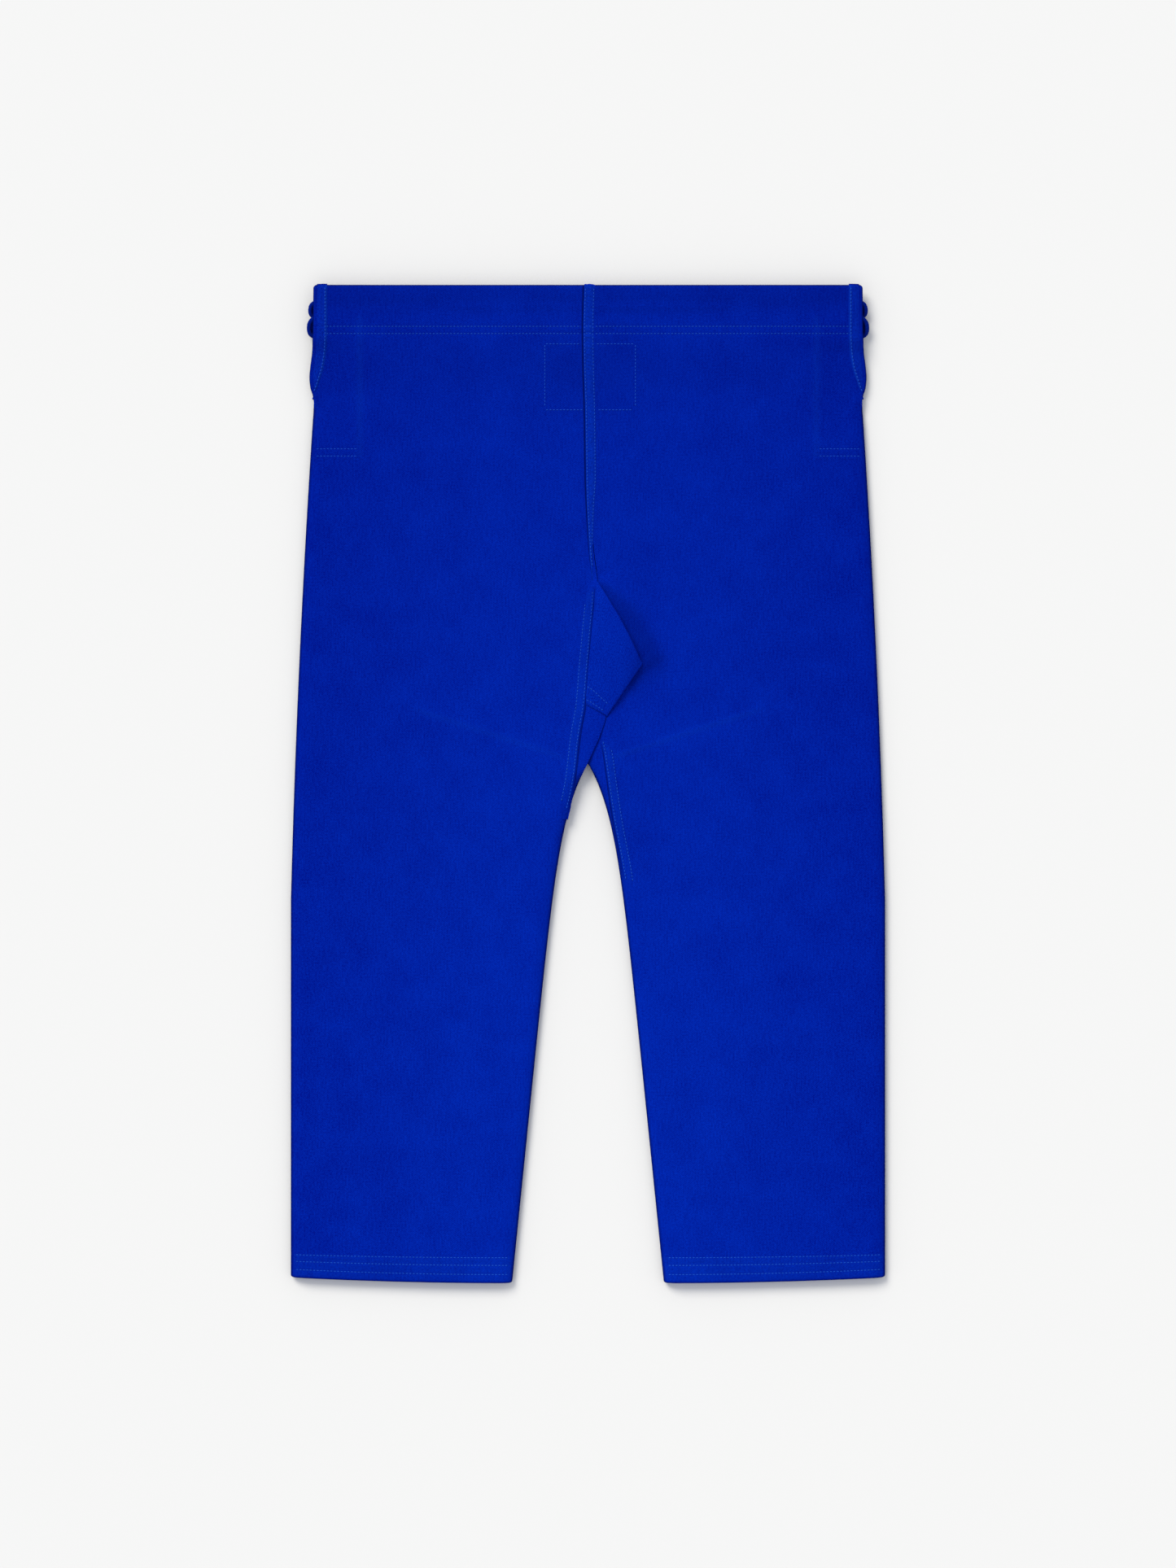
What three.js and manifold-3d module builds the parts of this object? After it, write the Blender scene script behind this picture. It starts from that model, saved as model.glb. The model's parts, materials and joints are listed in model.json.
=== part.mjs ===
// Judo and jiu-jitsu trousers, laid flat with the back of the garment upwards.
// Millimetres. +Z is up, +Y points to the waist and -X is the wearer's left.
// The origin is the middle of the bounding box, on the surface that the trousers lie on.
import * as THREE from "three";
import { mergeVertices } from "three/addons/utils/BufferGeometryUtils.js";
import Module from "manifold-3d";

const wasm = await Module();
wasm.setup();

// ---- Driving dimensions ----

// Outline, laid flat
const garmentLength = 960; // top of the waist to the lowest point of the hems
const insideLeg = 500; // crotch to the lowest point of the hems
const waistWidth = 527;
const legSpan = 572; // across both legs, from the knees down
const hemWidth = 213; // one leg opening
const hemSlant = 5.5; // the outer end of a hem sits this much higher than the inner end
const crotchSpread = 22; // how far each inner leg edge bows away below the crotch
const crotchRound = 47; // the length over which it bows
const foldBelowCrotch = 131; // the knee, where a leg folds up over the seat

// Thicknesses and gaps
const cloth = 1;
const facing = 0.8; // facings, felled seams, linings
const clearance = 0.3; // between layers that lie on each other
const legSlack = 0.3; // spare height inside a leg over the tucked-in drawcord and the label
const waistGap = 4.6; // opening between the two waist casings

// Waist
const casingDepth = 46;
const frontCasingDepth = 40;
const frontDrop = 14; // the front waist is cut this much lower than the back
const frontOpening = 56; // gap between the front casings, where the cord comes out
const ventDepth = 109;
const facingWidth = 12;

// Drawcord, threaded twice round the waist
const cordDiameter = 4.5;
const cordTipWall = 0.35; // of the sleeve that ends the cord
const cordTipLength = 16;
const loopLeg = 84; // length of a side loop's leg inside the casing
const backStrandDrops = [17, 27]; // below the top of the waist
const frontStrandDrops = [33, 49];

// Seams and reinforcements
const seamWidth = 9.4;
const seamOffset = 3.7; // the centre back seam lies beside the middle
const hipPatchWidth = 44;
const hipPatchDepth = 164; // its bottom edge, below the top of the waist
const labelWidth = 87;
const labelHeight = 63;
const labelDrop = 56;
const kneePatchEdge = 160; // its outer edge, from the middle
const kneePatchTopOuter = 51; // height of its top edge above the crotch, at the outer end
const kneePatchTopInner = 9;
const kneePatchNarrow = 25.5; // from the middle to its top inner corner
const hemDepth = 26;
const gussetRise = 11;
// Corners of the crotch gusset: top, outer, bottom, inner, as [x, height above the crotch]
const gussetCorners = [[1, 177], [50, 94], [15, 48], [-2, 60]];

// ---- Levels and edges worked out from them ----

const topY = garmentLength / 2;
const bottomY = -topY;
const crotchY = bottomY + insideLeg;
const foldY = crotchY - foldBelowCrotch;
const ventBottomY = topY - ventDepth;
const casingBottomY = topY - casingDepth;
const frontTopY = topY - frontDrop;
const frontCasingBottomY = frontTopY - frontCasingDepth;

const cordTipDiameter = cordDiameter + 2 * cordTipWall;
const frontFace = cloth + clearance; // underside of the front panels
const frontInside = frontFace + cloth;
// A leg holds both panels, the cord's tip and the label, with a clearance between each.
const legHeight = 2 * cloth + cordTipDiameter + facing + 3 * clearance + legSlack;
const legTop = frontFace + legHeight;
const tunnelHeight = cordDiameter + 2 * clearance;
const casingHeight = tunnelHeight + 2 * cloth;
const backCasingFace = frontFace + casingHeight + waistGap;
const waistTop = backCasingFace + casingHeight;
const frontCordZ = frontFace + casingHeight / 2;
const backCordZ = backCasingFace + casingHeight / 2;

const halfWaist = waistWidth / 2;
const halfSpan = legSpan / 2;
const casingEnd = halfWaist - facingWidth;
const edgeRadius = legHeight; // the back panel rolls down to the front in a quarter circle
const edgeArc = (edgeRadius * Math.PI) / 2;
const crotchRoll = 30; // length over which the inner edges close below the crotch
const ventRoll = 20; // length over which the outer edge opens below the vent

const smooth = THREE.MathUtils.smoothstep;
const mix = THREE.MathUtils.lerp;

// Half the width across the outer edges: straight from the knees down, curving in to the waist.
function outerHalf(y) {
  const rise = THREE.MathUtils.clamp((y - foldY) / (ventBottomY - foldY), 0, 1);
  return halfSpan - (halfSpan - halfWaist) * (0.55 * rise + 0.45 * rise * rise);
}

// Half the gap between the legs, zero at the crotch.
function innerHalf(y) {
  const below = Math.max(crotchY - y, 0);
  const taper = (halfSpan - hemWidth - crotchSpread) / insideLeg;
  return taper * below + crotchSpread * (1 - Math.exp(-below / crotchRound));
}

// Height of the back's outer face over its flat part: level on the legs and the casing, with a
// ramp of straight facets between them, so that what lies on it can lie parallel to it.
const rampTopY = casingBottomY - clearance;
const rampSteps = 5;
function backTop(y) {
  const along = THREE.MathUtils.clamp((y - ventBottomY) / (rampTopY - ventBottomY), 0, 1) * rampSteps;
  const facet = Math.min(Math.floor(along), rampSteps - 1);
  const [low, high] = [facet, facet + 1].map((k) => smooth(k / rampSteps, 0, 1));
  return mix(legTop, waistTop, mix(low, high, along - facet));
}

// How far the panel edges turn down, in radians: a quarter turn where a leg is closed.
const outerTurn = (y) => (Math.PI / 2) * (1 - smooth(y, ventBottomY - ventRoll, ventBottomY));
const innerTurn = (y) => (Math.PI / 2) * smooth(crotchY - y, 0, crotchRoll);

// Lowest point of a leg at a place across it, 0 at the inner edge and 1 at the outer.
const hemY = (across) => bottomY + hemSlant * across * across;

// ---- Making shapes ----

const garment = new THREE.Group();

const twill = { color: 0x021e9e, roughness: 0.85, metalness: 0 };
const seamTwill = { color: 0x0322a2, roughness: 0.85, metalness: 0 };
const cordCotton = { color: 0x0a2690, roughness: 0.9, metalness: 0 };

function addPiece(name, geometry, finish, parent = garment) {
  const mesh = new THREE.Mesh(geometry, new THREE.MeshStandardMaterial(finish));
  mesh.name = name;
  parent.add(mesh);
  return mesh;
}

// A closed sheet over a grid. place gives the point for a column value, a row value and a face,
// which is 0 underneath and 1 on top.
function sheet(columns, rows, place) {
  const geometry = new THREE.BoxGeometry(1, 1, 1, columns.length - 1, rows.length - 1, 1);
  const position = geometry.attributes.position;
  for (let i = 0; i < position.count; i++) {
    const column = columns[Math.round((position.getX(i) + 0.5) * (columns.length - 1))];
    const row = rows[Math.round((position.getY(i) + 0.5) * (rows.length - 1))];
    position.setXYZ(i, ...place(column, row, position.getZ(i) + 0.5));
  }
  return geometry;
}

// Evenly spaced values through a list of stops: stops[0], then steps[0] steps to stops[1], ...
function spaced(stops, steps) {
  const values = [stops[0]];
  steps.forEach((count, i) => {
    for (let k = 1; k <= count; k++) values.push(mix(stops[i], stops[i + 1], k / count));
  });
  return values;
}

// A tube of the cord's section along a smooth curve through the points.
function cordTube(points, steps) {
  const section = new THREE.Shape().absarc(0, 0, cordDiameter / 2, 0, 2 * Math.PI);
  const path = new THREE.CatmullRomCurve3(points.map((p) => new THREE.Vector3(...p)), false, "centripetal");
  return new THREE.ExtrudeGeometry(section, { extrudePath: path, steps, curveSegments: 4 });
}

function toSolid(geometry) {
  const bare = geometry.clone();
  bare.deleteAttribute("normal");
  bare.deleteAttribute("uv");
  const merged = mergeVertices(bare, 1e-3);
  const mesh = { numProp: 3, vertProperties: merged.attributes.position.array };
  return new wasm.Manifold(new wasm.Mesh({ ...mesh, triVerts: new Uint32Array(merged.index.array) }));
}

function toGeometry(solid) {
  const mesh = solid.getMesh();
  const geometry = new THREE.BufferGeometry();
  geometry.setAttribute("position", new THREE.BufferAttribute(mesh.vertProperties, 3));
  return geometry.setIndex(new THREE.BufferAttribute(mesh.triVerts, 1));
}

// ---- Panels ----

// A back panel over one leg. Columns run 0 to 1 round the low edge, 1 to 2 across, 2 to 3 round
// the high edge; low and high give [x, turn] for a row.
function backPanel(rows, low, high, edgeShift) {
  const columns = spaced([0, 1, 2, 3], [5, 5, 5]);
  return sheet(columns, rows, (column, row, face) => {
    const [lowX, lowTurn] = low(row);
    const [highX, highTurn] = high(row);
    const radius = edgeRadius - (1 - face) * cloth;
    const top = backTop(row);
    const round = (edge, turn, along, sign) => {
      const arc = edgeRadius * turn;
      const centre = edge + sign * edgeRadius * Math.sin(turn);
      if (along >= arc) return [centre + sign * (along - arc), top - (1 - face) * cloth];
      const angle = turn - along / edgeRadius;
      return [centre - sign * radius * Math.sin(angle), top - edgeRadius + radius * Math.cos(angle)];
    };
    let point;
    if (column <= 1) point = round(lowX, lowTurn, column * edgeArc, 1);
    else if (column >= 2) point = round(highX, highTurn, (3 - column) * edgeArc, -1);
    else {
      const start = round(lowX, lowTurn, edgeArc, 1)[0];
      const end = round(highX, highTurn, edgeArc, -1)[0];
      point = [mix(start, end, column - 1), top - (1 - face) * cloth];
    }
    return [point[0], row + edgeShift(row, point[0]), point[1]];
  });
}

// The gusset's opening, grown by the gap round it, as a prism through the back panels.
function gussetCutter() {
  const middle = gussetCorners.reduce((sum, [x, h]) => [sum[0] + x / 4, sum[1] + h / 4], [0, 0]);
  const grown = gussetCorners.map(([x, h]) => {
    const away = new THREE.Vector2(x - middle[0], h - middle[1]);
    away.setLength(away.length() + 4 * clearance);
    return new THREE.Vector2(middle[0] + away.x, crotchY + middle[1] + away.y);
  });
  const cutter = new THREE.ExtrudeGeometry(new THREE.Shape(grown), {
    depth: 2 * legTop,
    bevelEnabled: false,
  });
  return toSolid(cutter);
}

const upperRows = spaced(
  [foldY + clearance, crotchY - 40, crotchY + 10, ventBottomY - ventRoll, ventBottomY, rampTopY],
  [3, 8, 6, 3, rampSteps],
);
const lowerRows = spaced([bottomY, bottomY + 2 * hemDepth, foldY - clearance], [2, 7]);

// Drops the hem end of a lower panel to the slanted hem line and leaves the rest in place.
function hemShift(y, x) {
  const across = (Math.abs(x) - innerHalf(y)) / (outerHalf(y) - innerHalf(y));
  return (hemY(across) - bottomY) * smooth(bottomY + 2 * hemDepth - y, 0, 2 * hemDepth);
}

const flat = () => 0;

for (const [side, sign] of [["left", -1], ["right", 1]]) {
  const outer = (y) => [sign * outerHalf(y), outerTurn(y)];
  const inner = (y) => [sign * Math.max(innerHalf(y), clearance / 2), innerTurn(y)];
  const [low, high] = sign < 0 ? [outer, inner] : [inner, outer];

  const seat = toSolid(backPanel(upperRows, low, high, flat)).subtract(gussetCutter());
  addPiece(side + "_back_panel", toGeometry(seat), twill);
  addPiece(side + "_lower_back_panel", backPanel(lowerRows, low, high, hemShift), twill);

  // The front panels lie flat, inside the turned-down edges of the back.
  const frontX = (column, y) => {
    const [lowX, lowTurn] = low(y);
    const [highX, highTurn] = high(y);
    const inset = (turn) => (cloth + clearance) * Math.sin(turn);
    return mix(lowX + inset(lowTurn), highX - inset(highTurn), column);
  };
  const frontColumns = spaced([0, 1], [3]);
  const frontRows = upperRows.filter((y) => y < frontCasingBottomY - 10);
  frontRows.push(frontCasingBottomY - clearance);
  const frontPanel = (rows, shift) =>
    sheet(frontColumns, rows, (column, row, face) => {
      const x = frontX(column, row);
      return [x, row + shift(row, x), frontFace + face * cloth];
    });
  addPiece(side + "_front_panel", frontPanel(frontRows, flat), twill);
  addPiece(side + "_lower_front_panel", frontPanel(lowerRows, hemShift), twill);

  // The knee patch lies under the front panel, from above the knee to the hem.
  const patchX = (share, y) => {
    const edge = Math.max(innerHalf(y) + cloth + clearance, kneePatchNarrow);
    return sign * mix(edge, kneePatchEdge, sign < 0 ? 1 - share : share);
  };
  const patchTop = (x) => {
    const share = (Math.abs(x) - kneePatchNarrow) / (kneePatchEdge - kneePatchNarrow);
    return crotchY + mix(kneePatchTopInner, kneePatchTopOuter, share);
  };
  const patchColumns = spaced([0, 1], [3]);
  const upperPatch = sheet(patchColumns, spaced([0, 1], [5]), (column, row, face) => {
    const start = foldY + clearance;
    const x = patchX(column, mix(start, crotchY + kneePatchTopInner, row));
    return [x, mix(start, patchTop(x), row), face * cloth];
  });
  addPiece(side + "_knee_patch", upperPatch, twill);
  const lowerPatch = sheet(patchColumns, lowerRows, (column, row, face) => {
    const x = patchX(column, row);
    return [x, row + hemShift(row, x), face * cloth];
  });
  addPiece(side + "_shin_patch", lowerPatch, twill);

  // The hem allowance is turned up inside the leg, on both panels.
  const hemRows = spaced([bottomY + clearance, bottomY + hemDepth], [2]);
  const hemStrip = (inset, level) =>
    sheet(frontColumns, hemRows, (column, row, face) => {
      const edges = [innerHalf(row) + inset, outerHalf(row) - inset];
      const x = sign * mix(edges[0], edges[1], sign < 0 ? 1 - column : column);
      return [x, row + hemShift(row, x), level + face * facing];
    });
  const backHemLevel = legTop - cloth - clearance - facing;
  addPiece(side + "_back_hem", hemStrip(edgeRadius, backHemLevel), seamTwill);
  addPiece(side + "_front_hem", hemStrip(2 * (cloth + clearance), frontInside + clearance), seamTwill);
}

// ---- Crotch gusset ----

// A kite of cloth that fills its opening and bows up in the middle.
function gusset() {
  const steps = spaced([0, 1], [6]);
  const [top, outer, bottom, inner] = gussetCorners;
  return sheet(steps, steps, (a, b, face) => {
    const across = (i) => mix(mix(inner[i], bottom[i], a), mix(top[i], outer[i], a), b);
    const bow = 16 * a * (1 - a) * b * (1 - b);
    const level = legTop - (1 - face) * cloth + gussetRise * bow;
    return [across(0), crotchY + across(1), level];
  });
}
addPiece("crotch_gusset", gusset(), seamTwill);

// ---- Waist casings ----

// A flat sleeve along X, open at both ends, between two heights across the waist.
function casing(fromX, toX, fromY, toY, level) {
  const half = casingHeight / 2;
  const fold = half - cloth / 2; // radius of the turned-over top edge
  const outline = new THREE.Shape();
  outline.moveTo(fromY, level);
  outline.lineTo(toY - fold, level);
  outline.absarc(toY - fold, level + fold, fold, -Math.PI / 2, 0, false);
  outline.lineTo(toY, level + casingHeight - fold);
  outline.absarc(toY - fold, level + casingHeight - fold, fold, 0, Math.PI / 2, false);
  outline.lineTo(fromY, level + casingHeight);
  outline.closePath();
  const tunnel = new THREE.Path();
  tunnel.moveTo(fromY + cloth, level + cloth);
  tunnel.lineTo(fromY + cloth, level + casingHeight - cloth);
  tunnel.lineTo(toY - 2 * cloth, level + casingHeight - cloth);
  tunnel.lineTo(toY - 2 * cloth, level + cloth);
  tunnel.closePath();
  outline.holes.push(tunnel);
  const geometry = new THREE.ExtrudeGeometry(outline, {
    depth: toX - fromX,
    bevelEnabled: false,
    curveSegments: 4,
  });
  const alongX = new THREE.Matrix4().makeBasis(
    new THREE.Vector3(0, 1, 0),
    new THREE.Vector3(0, 0, 1),
    new THREE.Vector3(1, 0, 0),
  );
  return geometry.applyMatrix4(alongX.setPosition(fromX, 0, 0));
}

const halfOpening = frontOpening / 2;
addPiece("back_waist_casing", casing(-casingEnd, casingEnd, casingBottomY, topY, backCasingFace), twill);
for (const [side, from, to] of [["left", -casingEnd, -halfOpening], ["right", halfOpening, casingEnd]]) {
  const sleeve = casing(from, to, frontCasingBottomY, frontTopY, frontFace);
  addPiece(side + "_front_waist_casing", sleeve, twill);
}

// ---- Strips and plates that follow the back or lie under the front ----

// A strip between two x edges that vary along it, at a level that follows the back. Its rows are
// those of the panels under it.
function strip(fromY, toY, edges, level, thickness) {
  const rows = [fromY, ...upperRows.filter((y) => y > fromY + 1 && y < toY - 1), toY];
  return sheet([0, 1], rows, (column, row, face) => {
    const [lowX, highX] = edges(row);
    return [mix(lowX, highX, column), row, level(row) + face * thickness];
  });
}
const onBack = (y) => backTop(y) + clearance;
const underBack = (y) => backTop(y) - cloth - clearance - facing;
const onFloor = () => 0;

for (const [side, sign] of [["left", -1], ["right", 1]]) {
  const span = (a, b) => () => (sign < 0 ? [-b, -a] : [a, b]);

  // Side vent facings, on the outside of both layers
  const backFacing = strip(ventBottomY, topY, span(casingEnd, halfWaist), onBack, facing);
  addPiece(side + "_back_vent_facing", backFacing, seamTwill);
  const frontFacing = strip(ventBottomY, frontTopY, span(casingEnd, halfWaist), onFloor, cloth);
  addPiece(side + "_front_vent_facing", frontFacing, seamTwill);

  // Hip reinforcement, inside the back panel
  const patchOuter = casingEnd - clearance;
  const hipPatch = strip(
    topY - hipPatchDepth,
    rampTopY,
    span(patchOuter - hipPatchWidth, patchOuter),
    underBack,
    facing,
  );
  addPiece(side + "_hip_patch", hipPatch, twill);
}

// Felled seams
const gussetTopY = crotchY + gussetCorners[0][1];
const seamEdges = () => [seamOffset - seamWidth / 2, seamOffset + seamWidth / 2];
const backSeam = strip(gussetTopY + 2 * clearance, topY, seamEdges, onBack, facing);
addPiece("centre_back_seam", backSeam, seamTwill);
const frontSeamEdges = () => [-seamWidth / 2, seamWidth / 2];
const frontSeam = strip(crotchY + seamWidth, frontCasingBottomY, frontSeamEdges, onFloor, cloth);
addPiece("centre_front_seam", frontSeam, seamTwill);

// The inseams leave the gusset and drift to the inner edges of the legs.
const leftInseamY = [crotchY - 30, gussetTopY - seamWidth];
const leftInseamEdges = (y) => {
  const below = (gussetTopY - y) / (gussetTopY - leftInseamY[0]);
  const x = mix(-3, -22, below * Math.sqrt(below));
  return [x - seamWidth, x];
};
addPiece("left_inseam", strip(...leftInseamY, leftInseamEdges, onBack, facing), seamTwill);
const rightInseamEdges = (y) => {
  const x = mix(15, 28, smooth(crotchY + 26 - y, 0, 86));
  return [x, x + seamWidth];
};
addPiece("right_inseam", strip(crotchY - 60, crotchY + 26, rightInseamEdges, onBack, facing), seamTwill);

// Blank label, sewn inside the back below the waist casing
const labelEdges = () => [-labelWidth / 2, labelWidth / 2];
const labelFrom = topY - labelDrop - labelHeight;
const label = strip(labelFrom, topY - labelDrop, labelEdges, underBack, facing);
addPiece("inner_label", label, { color: 0x0a2a9a, roughness: 0.7, metalness: 0 });

// ---- Drawcord ----

// A side loop: a leg in the back casing, a bight past the edge, and a leg in the front casing.
// Each row is [past the side edge, drop below the waist top, share of the way from back to front].
const bendStart = facingWidth + 2;
const upperLoop = [
  [-loopLeg, 17, 0], [-bendStart - 24, 17, 0], [-bendStart, 17, 0], [-4, 16.4, 0.05],
  [1.8, 19, 0.24], [3.5, 24.5, 0.5], [2, 29, 0.75], [-4, 32, 0.94],
  [-bendStart, 33, 1], [-bendStart - 24, 33, 1], [-loopLeg, 33, 1],
];
const lowerLoop = [
  [-loopLeg, 27, 0], [-bendStart - 24, 27, 0], [-bendStart, 27, 0], [-4, 29.5, 0.05],
  [2.9, 34.8, 0.26], [4.8, 41.3, 0.5], [3, 47.4, 0.75], [-4, 49.8, 0.94],
  [-bendStart, 49, 1], [-bendStart - 24, 49, 1], [-loopLeg, 49, 1],
];
const runEnd = halfWaist - loopLeg - clearance;
const straightRun = (fromX, toX, drop, level) =>
  cordTube([[fromX, topY - drop, level], [toX, topY - drop, level]], 4);

for (const [side, sign] of [["left", -1], ["right", 1]]) {
  for (const [place, loop] of [["upper", upperLoop], ["lower", lowerLoop]]) {
    const points = loop.map(([past, drop, share]) => [
      sign * (halfWaist + past),
      topY - drop,
      mix(backCordZ, frontCordZ, share),
    ]);
    addPiece("drawcord_" + side + "_" + place + "_loop", cordTube(points, 34), cordCotton);
  }
  const ends = [sign * runEnd, sign * halfOpening].sort((a, b) => a - b);
  const frontRun = straightRun(...ends, frontStrandDrops[1], frontCordZ);
  addPiece("drawcord_" + side + "_front_run", frontRun, cordCotton);
}
const [upperDrop, lowerDrop] = backStrandDrops;
addPiece("drawcord_back_upper_run", straightRun(-runEnd, runEnd, upperDrop, backCordZ), cordCotton);
addPiece("drawcord_back_lower_run", straightRun(-runEnd, runEnd, lowerDrop, backCordZ), cordCotton);
const crossRun = straightRun(-runEnd, runEnd, frontStrandDrops[0], frontCordZ);
addPiece("drawcord_front_cross_run", crossRun, cordCotton);

// Free ends, tucked inside the front of the waist: [x, drop below the waist top]
const bedZ = frontInside + clearance + cordTipDiameter / 2;
const freeEnds = {
  left: [
    [clearance - halfOpening, 49], [-24, 49], [-17, 51], [-13, 58], [-13, 84], [-21, 112], [-31, 142], [-37, 172],
    [-38, 202], [-34, 232], [-27, 260], [-22, 288], [-22, 314], [-26, 338],
  ],
  right: [
    [halfOpening - clearance, 49], [24, 49], [17, 51], [13, 58], [14, 86], [23, 116], [30, 146], [31, 176],
    [27, 206], [23, 236], [25, 264], [32, 290], [41, 314], [52, 335],
  ],
};
for (const [side, route] of Object.entries(freeEnds)) {
  const points = route.map(([x, drop], i) => [x, topY - drop, i < 2 ? frontCordZ : bedZ]);
  addPiece("drawcord_" + side + "_end", cordTube(points, 36), cordCotton);

  // The tip follows the last stretch of its cord.
  const last = new THREE.Vector3(...points.at(-1));
  const along = last.clone().sub(new THREE.Vector3(...points.at(-2))).normalize();
  const tip = new THREE.CylinderGeometry(cordTipDiameter / 2, cordTipDiameter / 2, cordTipLength, 12);
  const mesh = addPiece("drawcord_" + side + "_tip", tip, cordCotton);
  mesh.quaternion.setFromUnitVectors(new THREE.Vector3(0, 1, 0), along);
  mesh.position.copy(last).addScaledVector(along, cordTipLength / 2 + clearance);
}

export default garment;
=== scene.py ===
# %% [markdown]
# # Judo and jiu-jitsu trousers, laid flat
#
# The garment is a pair of royal blue cotton trousers. It lies front down on a pale floor and is seen
# from straight above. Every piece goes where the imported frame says. Lengths are written in
# millimetres, and each mesh is turned to metres once, as it is finished.

# %% Start: load the frame
import bpy
import bmesh
import json
import math
from bisect import bisect_right
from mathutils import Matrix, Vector, noise


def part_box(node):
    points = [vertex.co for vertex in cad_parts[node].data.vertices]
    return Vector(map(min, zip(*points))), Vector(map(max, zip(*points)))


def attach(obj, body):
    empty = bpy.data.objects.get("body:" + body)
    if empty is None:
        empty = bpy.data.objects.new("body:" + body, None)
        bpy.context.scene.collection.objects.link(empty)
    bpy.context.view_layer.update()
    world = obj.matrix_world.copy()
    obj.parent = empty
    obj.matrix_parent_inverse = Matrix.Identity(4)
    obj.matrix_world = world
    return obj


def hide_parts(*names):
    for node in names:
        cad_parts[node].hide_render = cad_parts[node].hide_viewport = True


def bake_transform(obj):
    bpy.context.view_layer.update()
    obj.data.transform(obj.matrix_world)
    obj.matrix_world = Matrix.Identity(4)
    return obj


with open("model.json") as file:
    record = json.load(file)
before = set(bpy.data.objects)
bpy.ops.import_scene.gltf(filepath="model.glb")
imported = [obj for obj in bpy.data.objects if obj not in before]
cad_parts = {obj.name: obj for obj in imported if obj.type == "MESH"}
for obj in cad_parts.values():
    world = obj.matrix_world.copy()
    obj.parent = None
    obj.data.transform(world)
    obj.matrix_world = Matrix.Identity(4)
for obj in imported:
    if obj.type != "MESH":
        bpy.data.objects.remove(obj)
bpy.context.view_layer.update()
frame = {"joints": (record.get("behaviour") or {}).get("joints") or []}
MM = 0.001

# %% [markdown]
# ## Sizes from the frame
#
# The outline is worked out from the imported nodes: the waist, the vents, the knees, the crotch and the
# hems. Heights come from the same boxes. A "drop" is a distance below the top of the back waist.
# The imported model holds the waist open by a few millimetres; real cloth settles shut by `SETTLE`.

# %% Sizes


def low(node):
    """The node's lowest corner, in millimetres."""
    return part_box(node)[0] / MM


def high(node):
    """The node's highest corner, in millimetres."""
    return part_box(node)[1] / MM


TOP = high("back_waist_casing").y
BOTTOM = low("left_lower_back_panel").y
HALF_SPAN = high("right_lower_back_panel").x
HALF_WAIST = high("right_back_vent_facing").x
CASING_END = high("back_waist_casing").x
VENT_BOTTOM = low("left_back_vent_facing").y
CASING_BOTTOM = low("back_waist_casing").y
FRONT_TOP = high("left_front_waist_casing").y
FRONT_CASING_BOTTOM = low("left_front_waist_casing").y
LEG_TOP = high("left_lower_back_panel").z
FRONT_FACE = low("left_lower_front_panel").z
SETTLE = 4.2
BACK_CASING_FACE = low("back_waist_casing").z - SETTLE
WAIST_TOP = high("back_waist_casing").z - SETTLE
FRONT_CASING_TOP = high("left_front_waist_casing").z
KNEE_Y = frame["joints"][0]["pos_m"][1] / MM
KNEE_Z = frame["joints"][0]["pos_m"][2] / MM
INSIDE_LEG = 500
CROTCH = BOTTOM + INSIDE_LEG
CROTCH_SPREAD = 22
CROTCH_ROUND = 47
CLOTH = 1.0
GAP = 0.3
FACING = 0.8
HEM_WIDTH = 213
HEM_SLANT = 5.5
HEM_DEPTH = 26
HEM_CORNER = 2.5
SIDES = (("left", -1), ("right", 1))
print("waist", round(2 * HALF_WAIST), "mm, length", round(TOP - BOTTOM), "mm")
print("legs", round(LEG_TOP, 1), "mm high")

# %% [markdown]
# ## Curves
#
# A tailor draws an outline with a few points and a flexible curve. `through` does the same: it gives
# a smooth function through a few pairs that never overshoots between them. `smooth` is the soft step
# that blends one state of the cloth into another, and `bump` is a soft ridge.

# %% Curve helpers


def clamp(value, least=0.0, most=1.0):
    return max(least, min(most, value))


def mix(a, b, share):
    return a + (b - a) * share


def smooth(value, start, end):
    """0 before start, 1 after end, soft between; start may be the larger."""
    share = clamp((value - start) / (end - start))
    return share * share * (3 - 2 * share)


def bump(value, centre, width):
    """A soft ridge, 1 at the centre and 0.37 at width from it."""
    reach = (value - centre) / width
    return math.exp(-reach * reach) if abs(reach) < 4 else 0.0


def through(*pairs):
    """A smooth function through (place, value) pairs, in order of place."""
    at = [p[0] for p in pairs]
    value = [p[1] for p in pairs]
    gaps = [b - a for a, b in zip(at, at[1:])]
    slopes = [(b - a) / g for a, b, g in zip(value, value[1:], gaps)]
    inner = [0 if s * t <= 0 else 2 * s * t / (s + t) for s, t in zip(slopes, slopes[1:])]
    tangents = [slopes[0], *inner, slopes[-1]]

    def curve(place):
        i = min(max(bisect_right(at, place) - 1, 0), len(gaps) - 1)
        t = clamp((place - at[i]) / gaps[i])
        return (
            (1 + 2 * t) * (1 - t) ** 2 * value[i]
            + t * t * (3 - 2 * t) * value[i + 1]
            + gaps[i] * (t * (1 - t) ** 2 * tangents[i] - t * t * (1 - t) * tangents[i + 1])
        )

    return curve


def spaced(first, *stops):
    """Values from the first on; each stop is (value, longest step on the way to it)."""
    values = [first]
    for stop, step in stops:
        start = values[-1]
        count = max(1, math.ceil(abs(stop - start) / step))
        values += [mix(start, stop, (k + 1) / count) for k in range(count)]
    return values


def wander(x, y, size, seed):
    """A seeded soft wander between about -1 and 1, with hills of the given size."""
    return noise.noise(Vector((x / size, y / size, seed)))


print("halfway up a soft step:", smooth(0.5, 0, 1))

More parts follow.
